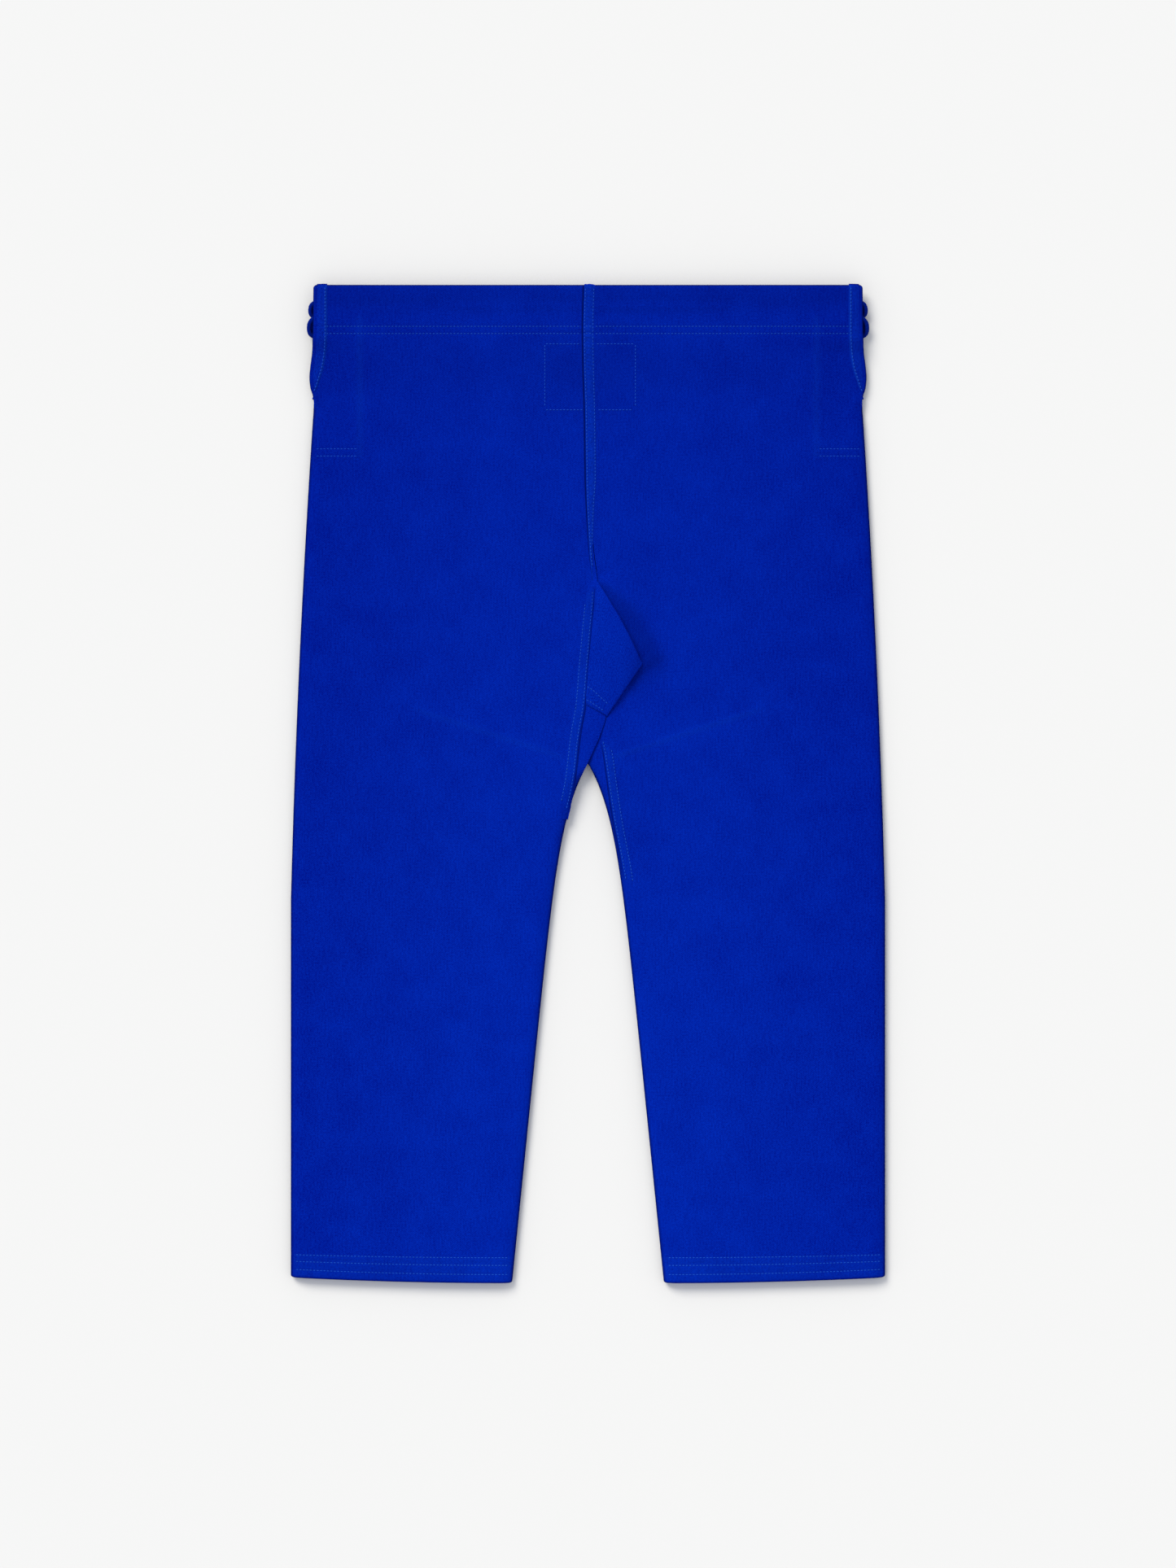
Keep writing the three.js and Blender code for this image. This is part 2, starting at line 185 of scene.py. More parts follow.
# %% [markdown]
# ## The outline
#
# The outer edge is straight from the knee down and curves in to the waist. The inner edges leave the
# crotch in a round bow and then run straight to the hems. In the crotch the left cloth laps over the
# right one, so its edge swings across the middle there before it turns down the leg. Each curve below
# is a row of (drop, distance from the middle) pairs.

# %% Outline


def outer_half(y):
    rise = clamp((y - KNEE_Y) / (VENT_BOTTOM - KNEE_Y))
    return HALF_SPAN - (HALF_SPAN - HALF_WAIST) * (0.55 * rise + 0.45 * rise * rise)


def inner_half(y):
    below = max(CROTCH - y, 0.0)
    taper = (HALF_SPAN - HEM_WIDTH - CROTCH_SPREAD) / INSIDE_LEG
    return taper * below + CROTCH_SPREAD * (1 - math.exp(-below / CROTCH_ROUND))


def hem_lift(x, y):
    """How far the hem end of a leg is raised, so that the hem slants up towards the outer edge."""
    across = clamp((abs(x) - inner_half(y)) / (outer_half(y) - inner_half(y)))
    return HEM_SLANT * across * across * smooth(y, BOTTOM + 2 * HEM_DEPTH, BOTTOM)


CROTCH_DROP = TOP - CROTCH
vent_bulge = through(
    (0, 0), (40, 0.4), (62, 1.3), (80, 3.5), (89, 4.2), (98, 3.4), (107, 0.8), (114, 0),
)
centre_line = through(
    (0, -3.9), (43, -4.9), (77, -4.4), (122, -3.1), (174, -2.4), (200, -1.8), (252, 0.8), (284, 4.0)
)
left_inseam_line = through(
    (284, 6.0), (294, 6.2), (337, 2.9), (367, 0.2), (403, -2.8),
    (432, -7.7), (477, -13.2), (516, -21.5), (560, -28),
)
right_inseam_line = through(
    (425, 10), (433, 11.5), (453, 15.4), (473, 18.2), (493, 21), (516, 24.6), (563, 33.3), (600, 38.5),
)
left_lap = through(
    (0, 1), (200, 2.5), (252, 5), (284, 9), (337, 13),
    (395, 16), (413, 17.2), (432, 12), (446, 6), (461, -0.8),
)
right_lap = through(
    (0, 1.5), (200, 3), (252, 5.5), (284, 9), (330, 4), (420, -4), (450, -4), (461, -0.5),
)


def cloth_edges(sign, y):
    """(x of the outer edge, x of the inner edge) of the cloth of one side."""
    drop = TOP - y
    lap = left_lap if sign < 0 else right_lap
    inner = lap(drop) if drop < CROTCH_DROP + 1 else sign * inner_half(y)
    bound = 0.9 * smooth(drop, 112, 104) + 3.0 * smooth(drop, 6, 0)
    up = min(y - BOTTOM, HEM_CORNER)
    corner = HEM_CORNER - math.sqrt(max(HEM_CORNER**2 - (HEM_CORNER - up) ** 2, 0.0))
    return sign * (outer_half(y) + vent_bulge(drop) - bound - corner), inner + sign * corner


print("crotch", round(CROTCH_DROP), "mm below the waist, knee fold", round(TOP - KNEE_Y), "mm")

# %% [markdown]
# ## The lie of the cloth
#
# Cotton this heavy lies almost flat, and still shows what is under it: the cord in the waist, the
# stitched-on hip patches, the blank label, the knee patches on the front and the turned-up hems. Each
# lifts the cloth by a few tenths of a millimetre. A stitch row pulls it down in a fine furrow. One
# function adds these up, so the cloth and all that lies on it use the same heights. `LABEL` holds the
# left, right, top and bottom of the label, across in x and down in drop.

# %% Height of the back cloth
CASING_ROWS = (40.2, 47.1)
HIP_ROWS = (157.5, 164.5)
HEM_ROWS = (8.4, 17.2, 24.6)
LABEL = (-41.5, 45.5, 57, 120)
KNEE_PATCH_INNER, KNEE_PATCH_OUTER = 25.5, 160
GUSSET = {"top": (6.9, 284), "outer": (51, 364), "bottom": (17, 414), "inner": (-2.9, 403)}


def waist_ramp(y):
    """The back rises from the legs to the waist, which is as high as two casings and their cords."""
    return mix(LEG_TOP, WAIST_TOP, smooth(y, VENT_BOTTOM, CASING_BOTTOM))


def knee_top(side):
    """Drop of the knee patch's slanting top edge."""
    return mix(452, 406.5, (side - KNEE_PATCH_INNER) / 141)


def waist_relief(x, drop):
    """The upper cord pressed through, the furrows of the two stitch rows, and fine wrinkles."""
    side = abs(x)
    cord = smooth(side, 3, 12) * smooth(side, 140, 128)
    relief = 0.5 * cord * bump(drop, 21, 3.2) + 0.18 * bump(drop, 10.5, 2.5)
    relief -= 0.35 * sum(bump(drop, row, 1.0) for row in CASING_ROWS)
    relief += 0.9 * wander(x * 0.4, drop, 8, 3) * bump(drop, 44, 12) * smooth(side, 75, 10)
    relief += 0.5 * wander(x * 0.25, drop, 9, 7) * bump(drop, 20, 12)
    return relief + 0.35 * wander(x, drop * 0.5, 14, 5) * bump(drop, 44, 12)


def patch_relief(x, drop):
    """The hip patches and the label, which lie inside the cloth."""
    side = abs(x)
    hip_edge = mix(216.5, 219.5, smooth(drop, 40, 60))
    hip = smooth(side, hip_edge - 3, hip_edge + 3) * smooth(drop, 169, 165)
    relief = 0.28 * hip + 0.16 * bump(side, hip_edge + 2, 3.5) * smooth(drop, 167, 163)
    relief -= 0.3 * sum(bump(drop, row, 1.1) for row in HIP_ROWS) * smooth(side, 214, 219)
    left, right, top, foot = LABEL
    label = smooth(x, left - 2, left + 1) * smooth(x, right + 2, right - 1)
    label *= smooth(drop, top - 2, top + 1) * smooth(drop, foot + 2, foot - 1)
    return relief + 0.25 * label


def leg_relief(x, drop, row):
    """The knee patch's edges, the hem with its rows, and a few soft creases at the outer edge."""
    side = abs(x)
    past_top = drop - knee_top(side)
    knee = smooth(past_top, -3, 3) * smooth(side, 161, 156)
    relief = 0.16 * knee + 0.4 * bump(past_top, 0, 2.4) * smooth(side, 18, 30) * smooth(side, 172, 160)
    relief += 0.16 * bump(side, 158.5, 3) * smooth(drop, 402, 414)
    above = row - BOTTOM
    relief += 0.25 * smooth(above, 27, 24) - 0.3 * sum(bump(above, at, 0.9) for at in HEM_ROWS)
    for at, depth in ((708, 0.5), (747, 0.4), (652, 0.25)):
        relief -= depth * bump(drop, at + 3 * wander(x, 0, 20, 9), 3.2) * bump(side, 243, 14)
    pinch = bump(above, 19.5, 1.1) * (bump(side, 239, 13) + bump(side, 108, 9))
    return relief - 0.5 * pinch


def beside_gusset(x, drop):
    """(distance past the gusset's upper right edge, share of the way along it)."""
    top, outer = Vector(GUSSET["top"]), Vector(GUSSET["outer"])
    edge = outer - top
    from_top = Vector((x, drop)) - top
    past = (from_top.x * edge.y - from_top.y * edge.x) / edge.length
    return past, from_top.dot(edge) / edge.length_squared


def crotch_relief(x, drop):
    """The folded gusset holds the cloth up beside it, and the thick seams do so at the crotch."""
    past, along = beside_gusset(x, drop)
    ridge = math.sqrt(clamp(4 * along * (1.08 - along))) * smooth(past, 31, 3) * smooth(past, -14, 0)
    return 6.0 * ridge + 5.0 * bump(drop, 484, 44) * bump(x, 0, 48)


def back_height(x, y):
    """Height of the back cloth's upper face, away from its rolled edges."""
    drop = TOP - y
    height = waist_ramp(y) + 0.45 * wander(x, y, 110, 1) + 0.14 * wander(x, y * 0.6, 34, 2)
    by_the_vent = smooth(abs(x), 205, 268) * smooth(drop, 50, 68) * smooth(drop, 150, 105)
    height -= 0.35 * (height - 2.5) * by_the_vent
    if drop < 70:
        height += waist_relief(x, drop)
    if drop < 175:
        height += patch_relief(x, drop)
    if 270 < drop < 640:
        height += crotch_relief(x, drop)
    if drop > 390:
        height += leg_relief(x, drop, y)
    return height


print("back cloth at mid-thigh:", round(back_height(150, 0), 1), "mm high")

# %% [markdown]
# ## Laying a piece of cloth
#
# Every flat piece starts as one grid. `place` says where a corner goes, from its column and row value,
# so rows can be close together where there are stitches and far apart on plain cloth. The UV map is
# the unrolled cloth in metres, measured along the surface, so that the weave follows it round a fold.
# A Solidify modifier gives the cloth its thickness, downwards from the face that was laid.

# %% Cloth and piece helpers


def unroll(spot, across, along):
    """Distances along the cloth for each grid corner, from the middle column and the first row."""
    flat, middle = {}, across // 2
    for j in range(along + 1):
        flat[middle, j] = spot[middle, j].x
        for i in range(middle + 1, across + 1):
            flat[i, j] = flat[i - 1, j] + (spot[i, j] - spot[i - 1, j]).length
        for i in range(middle - 1, -1, -1):
            flat[i, j] = flat[i + 1, j] - (spot[i, j] - spot[i + 1, j]).length
    up = {}
    for i in range(across + 1):
        up[i, 0] = spot[i, 0].y
        for j in range(1, along + 1):
            up[i, j] = up[i, j - 1] + (spot[i, j] - spot[i, j - 1]).length
    return flat, up


def lay_cloth(columns, rows, place, painted_shade_and_highlight=None):
    """A bmesh grid laid out by place(column, row).

    The last argument, given (column, row, spot), is how much painted shade darkens the cloth there;
    below 0 it is a painted highlight that makes the cloth paler.
    """
    bm = bmesh.new()
    across, along = len(columns) - 1, len(rows) - 1
    bmesh.ops.create_grid(bm, x_segments=across, y_segments=along, size=0.5)
    # Painted shade and painted highlight, stored at each corner for the material
    fold = bm.verts.layers.float.new("painted_shade_and_highlight")
    cell, spot = {}, {}
    for vert in bm.verts:
        i, j = round((vert.co.x + 0.5) * across), round((vert.co.y + 0.5) * along)
        cell[vert.index] = i, j
        vert.co = spot[i, j] = Vector(place(columns[i], rows[j]))
        if painted_shade_and_highlight:
            vert[fold] = painted_shade_and_highlight(columns[i], rows[j], spot[i, j])
    flat, up = unroll(spot, across, along)
    weave = bm.loops.layers.uv.new("weave")
    for face in bm.faces:
        for loop in face.loops:
            key = cell[loop.vert.index]
            loop[weave].uv = flat[key] * MM, up[key] * MM
    return bm


KNEE_BEND = 18


def finish_piece(name, bm, finish, body, stands_for=(), wall=0.0):
    """Turns a bmesh in millimetres into a piece in metres that moves with a body; given two bodies, it
    stays where it was laid.
    """
    bmesh.ops.scale(bm, vec=(MM, MM, MM), verts=bm.verts)
    mesh = bpy.data.meshes.new(name)
    bm.to_mesh(mesh)
    bm.free()
    mesh.shade_smooth()
    mesh.materials.append(finish)
    piece = bpy.data.objects.new(name, mesh)
    bpy.context.scene.collection.objects.link(piece)
    if wall:
        thick = piece.modifiers.new("cloth thickness", "SOLIDIFY")
        thick.thickness, thick.offset, thick.use_quality_normals = wall * MM, -1, True
    if isinstance(body, str):
        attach(piece, body)
    else:
        start, end = [(0, (KNEE_Y + reach) * MM, KNEE_Z * MM) for reach in (KNEE_BEND, -KNEE_BEND)]
        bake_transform(piece)
        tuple(start)
        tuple(end)
    if stands_for:
        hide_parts(*stands_for)
    return piece


print("cloth helpers ready")

# %% [markdown]
# ## Finishes
#
# The trousers are cotton twill, piece-dyed royal blue. A dyed cotton yarn scatters light inside its
# fibres and hardly mirrors any, so the shader's specular level is close to nothing and the roughness
# is high. What shows is the colour itself: fine speckle from the twill's diagonal ribs, darker and
# lighter warp yarns that run down the garment, and a slow mottle from dyeing and washing.
#
# A real twill rib is about 0.7 mm wide. It is drawn at 1.5 mm, because the finer one would vanish.
# Two things vary slowly over the whole garment, and both are painted light: the cloth is painted a little
# paler along the middle and darker towards its outer edges, and painted a little darker at the waist, as
# shade. Where a fold turns away, a value stored at each corner of the cloth paints shade on it; over some
# raised edges the value is below 0 and paints a highlight.

# %% Colours and the node helper


def linear(hex_colour):
    """An sRGB hex colour as linear RGBA."""
    channels = [int(hex_colour[i : i + 2], 16) / 255 for i in (1, 3, 5)]
    return [c / 12.92 if c <= 0.04045 else ((c + 0.055) / 1.055) ** 2.4 for c in channels] + [1.0]


def add_node(tree, kind, settings=None, **inputs):
    """Adds a node; an input is named, or in_N for number N, and takes a socket or a value."""
    made = tree.nodes.new(kind)
    for key, value in (settings or {}).items():
        setattr(made, key, value)
    for key, value in inputs.items():
        socket = made.inputs[int(key[3:]) if key.startswith("in_") else key.replace("_", " ")]
        if isinstance(value, bpy.types.NodeSocket):
            tree.links.new(value, socket)
        else:
            socket.default_value = value
    return made


YARN_WIDTH, YARN_SLUB = 1.4 * MM, 14 * MM
FIBRE_SPECKLE = 1.6 * MM
DYE_MOTTLE = 35 * MM
RIB_SHARE, MOTTLE_SHARE = 0.22, 0.25
# The colours of the painted highlight and of the painted shade
PAINTED_HIGHLIGHT_COLOUR, PAINTED_SHADE_COLOUR = "#1460E0", "#00084A"
# Painted shade: towards the waist the colour is multiplied by the first of these
WAIST_PAINTED_SHADE, LEG_TINT = "#F0E4F0", "#FFFFFF"


def woven(name, dark, light, rib=1.5, angle=52, slub=0.35, speckle=0.8, sheen=0.08):
    """Twill: ribs in mm at an angle; slub is the share of uneven warp yarns, speckle of loose fibres.

    A wave texture repeats every 2 pi / 20 units, so its scale is that over the rib's width.
    """
    finish = bpy.data.materials.new(name)
    finish.use_nodes = True
    tree = finish.node_tree
    shader = tree.nodes["Principled BSDF"]
    cloth = add_node(tree, "ShaderNodeUVMap", {"uv_map": "weave"}).outputs["UV"]
    turned = add_node(tree, "ShaderNodeMapping", Vector=cloth, Rotation=(0, 0, math.radians(angle)))
    ribs = add_node(
        tree,
        "ShaderNodeTexWave",
        {"wave_type": "BANDS", "bands_direction": "X"},
        Vector=turned.outputs[0],
        Scale=2 * math.pi / 20 / (rib * MM),
        Distortion=1.2,
        Detail=2.0,
        Detail_Scale=0.6,
    )
    yarns = add_node(tree, "ShaderNodeMapping", Vector=cloth, Scale=(1 / YARN_WIDTH, 1 / YARN_SLUB, 1))
    kind, flat = "ShaderNodeTexNoise", {"noise_dimensions": "2D"}
    streaks = add_node(tree, kind, flat, Vector=yarns.outputs[0], Scale=1.0, Detail=2.0)
    fibres = add_node(tree, kind, flat, Vector=cloth, Scale=1 / FIBRE_SPECKLE, Detail=3.0)
    mottle = add_node(tree, kind, flat, Vector=cloth, Scale=1 / DYE_MOTTLE, Detail=4.0)

    spot = add_node(tree, "ShaderNodeTexCoord").outputs["Object"]
    place = add_node(tree, "ShaderNodeSeparateXYZ", Vector=spot)
    beside = add_node(tree, "ShaderNodeMath", {"operation": "ABSOLUTE"}, in_0=place.outputs["X"])
    # In metres, from the middle out and from the waist down
    kind = "ShaderNodeMapRange"
    # Painted light: paler along the middle, darker towards the outer edges
    edges = {"From_Min": 0.1, "From_Max": 0.29, "To_Min": 0.04, "To_Max": -0.1}
    painted_light_falloff = add_node(tree, kind, Value=beside.outputs[0], **edges)
    # Painted shade: darker towards the waist
    down_the_leg = {"From_Min": 0.48, "From_Max": -0.25, "To_Min": 0.0, "To_Max": 1.0}
    painted_waist_shade = add_node(tree, kind, Value=place.outputs["Y"], **down_the_leg)

    kind, blend = "ShaderNodeMath", {"operation": "MULTIPLY_ADD"}
    shares = ((ribs, RIB_SHARE), (streaks, slub), (fibres, speckle), (mottle, MOTTLE_SHARE), (painted_light_falloff, 1.0))
    tone = 0.5 - 0.5 * (RIB_SHARE + slub + speckle + MOTTLE_SHARE)
    for part, share in shares:
        tone = add_node(tree, kind, blend, in_0=part.outputs[0], in_1=share, in_2=tone).outputs[0]
    rough = add_node(tree, kind, blend, in_0=ribs.outputs[0], in_1=0.5, in_2=fibres.outputs[0])
    # Above 0 the stored value paints shade; below 0 it paints a highlight
    painted_shade_and_highlight = add_node(tree, "ShaderNodeAttribute", {"attribute_name": "painted_shade_and_highlight"}).outputs["Fac"]
    painted_highlight = add_node(tree, kind, {"operation": "MULTIPLY", "use_clamp": True}, in_0=painted_shade_and_highlight, in_1=-1.0)

    kind, blend = "ShaderNodeMix", {"data_type": "RGBA"}
    colour = add_node(tree, kind, blend, in_0=tone, in_6=linear(dark), in_7=linear(light)).outputs[2]
    tint = add_node(tree, kind, blend, in_0=painted_waist_shade.outputs[0], in_6=linear(WAIST_PAINTED_SHADE), in_7=linear(LEG_TINT))
    painted_waist_colour = add_node(
        tree, kind, {**blend, "blend_type": "MULTIPLY"}, in_0=1.0, in_6=colour, in_7=tint.outputs[2]
    ).outputs[2]
    highlighted = add_node(tree, kind, blend, in_0=painted_highlight.outputs[0], in_6=painted_waist_colour, in_7=linear(PAINTED_HIGHLIGHT_COLOUR))
    painted_shade_mix = add_node(tree, kind, blend, in_0=painted_shade_and_highlight, in_6=highlighted.outputs[2], in_7=linear(PAINTED_SHADE_COLOUR))
    raised = add_node(tree, "ShaderNodeBump", Strength=0.3, Distance=0.4 * MM, Height=rough.outputs[0])
    tree.links.new(painted_shade_mix.outputs[2], shader.inputs["Base Color"])
    tree.links.new(raised.outputs[0], shader.inputs["Normal"])
    shader.inputs["Roughness"].default_value = 0.92
    shader.inputs["Specular IOR Level"].default_value = 0.01
    shader.inputs["Sheen Weight"].default_value = sheen
    shader.inputs["Sheen Roughness"].default_value = 0.5
    shader.inputs["Sheen Tint"].default_value = linear("#1030C0")
    return finish


# The body cloth; the gusset's ribs lie flatter, as it is cut on the bias; pressed seams are paler.
TWILL = woven("piece_dyed_cotton_twill", "#000070", "#012FBA", slub=0.3, speckle=0.75)
GUSSET_TWILL = woven("bias_cut_cotton_twill", "#000072", "#0132BC", rib=2.0, angle=20, speckle=1.1, slub=0.25)
SEAM_TWILL = woven("pressed_seam_cotton_twill", "#000474", "#0334BF", speckle=1.0, slub=0.2)
# Polyester tape is smoother and shines softly; the thread is the palest blue, and the cord the dullest.
LABEL_TAPE = woven(
    "woven_polyester_label_tape", "#001478", "#0B37C4", rib=0.8, angle=0, slub=0.2, speckle=0.2, sheen=0.2
)
THREAD = woven("polyester_sewing_thread", "#0C3CA8", "#2860D4", rib=0.8, angle=60, slub=0.2, speckle=0.4)
CORD_COTTON = woven("braided_cotton_cord", "#00115F", "#0828A0", rib=1.4, angle=35, slub=0.2, speckle=0.4)
print("finishes:", ", ".join(m.name for m in bpy.data.materials))

# %% [markdown]
# ## Camera, light and floor
#
# The camera looks straight down from 5 m, so the trousers keep their outline. The light is one large
# soft key from the upper left, as a broad sun lamp that is equally bright over the whole floor, and a
# white surround that fills the shadows. The floor is matt and pale.

# %% Camera, light and floor
scene = bpy.context.scene
scene.view_settings.view_transform = "Standard"
DISTANCE = 5.0
FIELD_HEIGHT = 1.511
SENSOR = 36
camera = bpy.data.objects.new("camera", bpy.data.cameras.new("camera"))
scene.collection.objects.link(camera)
camera.location = (0, 0.0002, DISTANCE)
camera.data.sensor_width = SENSOR
camera.data.lens = SENSOR * DISTANCE / FIELD_HEIGHT
camera.data.clip_end = 50
scene.camera = camera

key = bpy.data.objects.new("key_light", bpy.data.lights.new("key_light", "SUN"))
scene.collection.objects.link(key)
key.data.energy = 2.33
key.data.color = (1.0, 0.96, 0.85)
key.data.angle = math.radians(30)
key.rotation_euler = Vector((-0.62, 0.98, 1.0)).to_track_quat("Z", "Y").to_euler()

scene.world = bpy.data.worlds.new("white_surround")
scene.world.use_nodes = True
surround = scene.world.node_tree.nodes["Background"]
surround.inputs["Color"].default_value = (0.90, 0.93, 1.0, 1)
surround.inputs["Strength"].default_value = 0.725

floor_finish = bpy.data.materials.new("matt_white_floor")
floor_finish.use_nodes = True
floor_shader = floor_finish.node_tree.nodes["Principled BSDF"]
floor_shader.inputs["Base Color"].default_value = linear("#E9E9E9")
floor_shader.inputs["Roughness"].default_value = 1.0
floor_shader.inputs["Specular IOR Level"].default_value = 0.0
floor_mesh = bmesh.new()
bmesh.ops.create_grid(floor_mesh, x_segments=1, y_segments=1, size=6)
bmesh.ops.translate(floor_mesh, vec=(0, 0, -0.0002), verts=floor_mesh.verts)
floor_data = bpy.data.meshes.new("floor")
floor_mesh.to_mesh(floor_data)
floor_mesh.free()
floor_data.materials.append(floor_finish)
floor = bpy.data.objects.new("floor", floor_data)
scene.collection.objects.link(floor)
print("camera", round(camera.data.lens, 1), "mm at", DISTANCE, "m")

# %% [markdown]
# ## Drawcord
#
# A braided cotton cord, 4.5 mm thick, runs twice round the waist inside the casings. It comes out
# round each side vent in two loops, and its two free ends are tucked in at the front. The routes
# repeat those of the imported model. A cord is made as a grid wrapped into a tube, so that the strands
# of the braid are real relief, and its weave map runs along it.
#
# A loop's points are (distance past the waist's edge, drop, share of the way from the back casing down
# to the front one). A free end's points are (x, drop).

# %% Drawcord
CORD_RADIUS = 2.25
TIP_RADIUS, TIP_LENGTH = 2.55, 16
LOOP_LEG = 84
BRAID_LENGTH = 9
AROUND = 16
BACK_CORD_Z = BACK_CASING_FACE + (WAIST_TOP - BACK_CASING_FACE) / 2
FRONT_CORD_Z = (FRONT_FACE + FRONT_CASING_TOP) / 2
BED_Z = 5.2
UPPER_LOOP = [
    (-84, 17, 0), (-38, 17, 0), (-14, 17, 0), (-4, 16.4, 0.05), (1.8, 19, 0.24), (3.5, 24.5, 0.5),
    (2, 29, 0.75), (-4, 32, 0.94), (-14, 33, 1), (-38, 33, 1), (-84, 33, 1),
]
LOWER_LOOP = [
    (-84, 27, 0), (-38, 27, 0), (-14, 27, 0), (-4, 29.5, 0.05), (2.9, 34.8, 0.26), (4.8, 41.3, 0.5),
    (3, 47.4, 0.75), (-4, 49.8, 0.94), (-14, 49, 1), (-38, 49, 1), (-84, 49, 1),
]
FREE_ENDS = {
    "left": [
        (-27.7, 49), (-24, 49), (-17, 51), (-13, 58), (-13, 84), (-21, 112), (-31, 142), (-37, 172),
        (-38, 202), (-34, 232), (-27, 260), (-22, 288), (-22, 314), (-26, 338),
    ],
    "right": [
        (27.7, 49), (24, 49), (17, 51), (13, 58), (14, 86), (23, 116), (30, 146), (31, 176),
        (27, 206), (23, 236), (25, 264), (32, 290), (41, 314), (52, 335),
    ],
}


CORD_STEP = 1.2


def along_curve(points):
    """Points about CORD_STEP apart on a smooth curve through the given ones."""
    points = [Vector(p) for p in points]
    ends = [2 * points[0] - points[1], *points, 2 * points[-1] - points[-2]]
    path = [points[0]]
    for a, b, c, d in zip(ends, ends[1:], ends[2:], ends[3:]):
        count = max(1, round((c - b).length / CORD_STEP))
        for k in range(1, count + 1):
            t = k / count
            bend = 2 * b + (c - a) * t + (2 * a - 5 * b + 4 * c - d) * t * t + (3 * b - a - 3 * c + d) * t**3
            path.append(bend / 2)
    return path


def braided(name, points, body, stands_for, radius=CORD_RADIUS, strands=5, finish=CORD_COTTON):
    """A round braided cord along the points, closed at both ends; returns (piece, path)."""
    path = along_curve(points)
    tangents = [(b - a).normalized() for a, b in zip(path, path[1:])]
    tangents.append(tangents[-1])
    normals = [tangents[0].orthogonal().normalized()]
    for a, b in zip(tangents, tangents[1:]):
        normal = normals[-1].copy()
        normal.rotate(a.rotation_difference(b))
        normals.append(normal)
    count = len(path)

    def place(turn, row):
        k = clamp(row, 0, count - 1)
        angle = 2 * math.pi * turn / AROUND
        twist = 2 * math.pi * k * CORD_STEP / BRAID_LENGTH
        relief = math.sin(strands * angle + twist * 2) * math.sin(strands * angle - twist * 2)
        size = radius * (0.97 + 0.04 * relief)
        if row != k:
            size *= 0.55
        side = normals[k] * math.cos(angle) + normals[k].cross(tangents[k]) * math.sin(angle)
        return path[k] + side * size + tangents[k] * (row - k) * 0.5

    bm = lay_cloth(range(AROUND + 1), range(-1, count + 1), place)
    bmesh.ops.remove_doubles(bm, verts=bm.verts, dist=0.001)
    bmesh.ops.holes_fill(bm, edges=[e for e in bm.edges if e.is_boundary], sides=0)
    bmesh.ops.recalc_face_normals(bm, faces=bm.faces)
    cord = finish_piece(name, bm, finish, body, [stands_for])
    return cord, path


RUN_END = HALF_WAIST - LOOP_LEG - GAP
OPENING_EDGE = 28
FRONT_RUN_DROP = LOWER_LOOP[-1][1]
for side, sign in SIDES:
    for level, loop in (("upper", UPPER_LOOP), ("lower", LOWER_LOOP)):
        points = [
            (sign * (HALF_WAIST + past), TOP - drop, mix(BACK_CORD_Z, FRONT_CORD_Z, share))
            for past, drop, share in loop
        ]
        node = f"drawcord_{side}_{level}_loop"
        braided(f"{side}_{level}_cord_loop", points, f"{side}_cord_loops", node)
    run = [(sign * x, TOP - FRONT_RUN_DROP, FRONT_CORD_Z) for x in (OPENING_EDGE, 100, RUN_END)]
    braided(f"{side}_front_cord_run", run, "seat", f"drawcord_{side}_front_run")
    heights = [FRONT_CORD_Z] * 2 + [BED_Z] * (len(FREE_ENDS[side]) - 2)
    route = [(x, TOP - drop, z) for (x, drop), z in zip(FREE_ENDS[side], heights)]
    free, path = braided(f"{side}_free_cord_end", route, "seat", f"drawcord_{side}_end")
    heading = (Vector(route[-1]) - Vector(route[-2])).normalized()
    tip_points = [Vector(route[-1]) + heading * (GAP + TIP_LENGTH * share) for share in (0, 0.5, 1)]
    tip, _ = braided(
        f"{side}_cord_tip", tip_points, "seat", f"drawcord_{side}_tip", TIP_RADIUS, 0, LABEL_TAPE
    )
    length = sum((b - a).length for a, b in zip(path, path[1:]))
    [tuple(p * MM) for p in path]
    print(side, "free end of the drawcord:", round(length), "mm")
for name, start, z in (
    ("back_upper", UPPER_LOOP[0], BACK_CORD_Z),
    ("back_lower", LOWER_LOOP[0], BACK_CORD_Z),
    ("front_cross", UPPER_LOOP[-1], FRONT_CORD_Z),
):
    run = [(x, TOP - start[1], z) for x in (-RUN_END, 0, RUN_END)]
    braided(f"{name}_cord_run", run, "seat", f"drawcord_{name}_run")

# %% [markdown]
# ## Back cloth
#
# The back of each leg is one length of cloth, from the waist to the hem. It is laid as one grid. At
# the leg edges it leaves the flat in a wide shoulder and curls under, as a heavy cotton does on a
# fold without a crease. At the waist it rolls over the casing. The grid's columns go round the outer
# edge (0 to 1), over the narrow flat zone beside it (1 to 2), across the leg (2 to 3), over the other
# flat zone (3 to 4) and round the inner edge (4 to 5).

# %% Back cloth
SHOULDER, SHOULDER_DROP = 13.0, 5.5
CURL, CURL_DROP = 5.0, 2.6
FULL_TURN = math.radians(150)
TOP_ROLL = 3.55
ROLL_END = TOP - TOP_ROLL + TOP_ROLL * math.pi
VENT_TURN = (VENT_BOTTOM + 4, VENT_BOTTOM - 26)


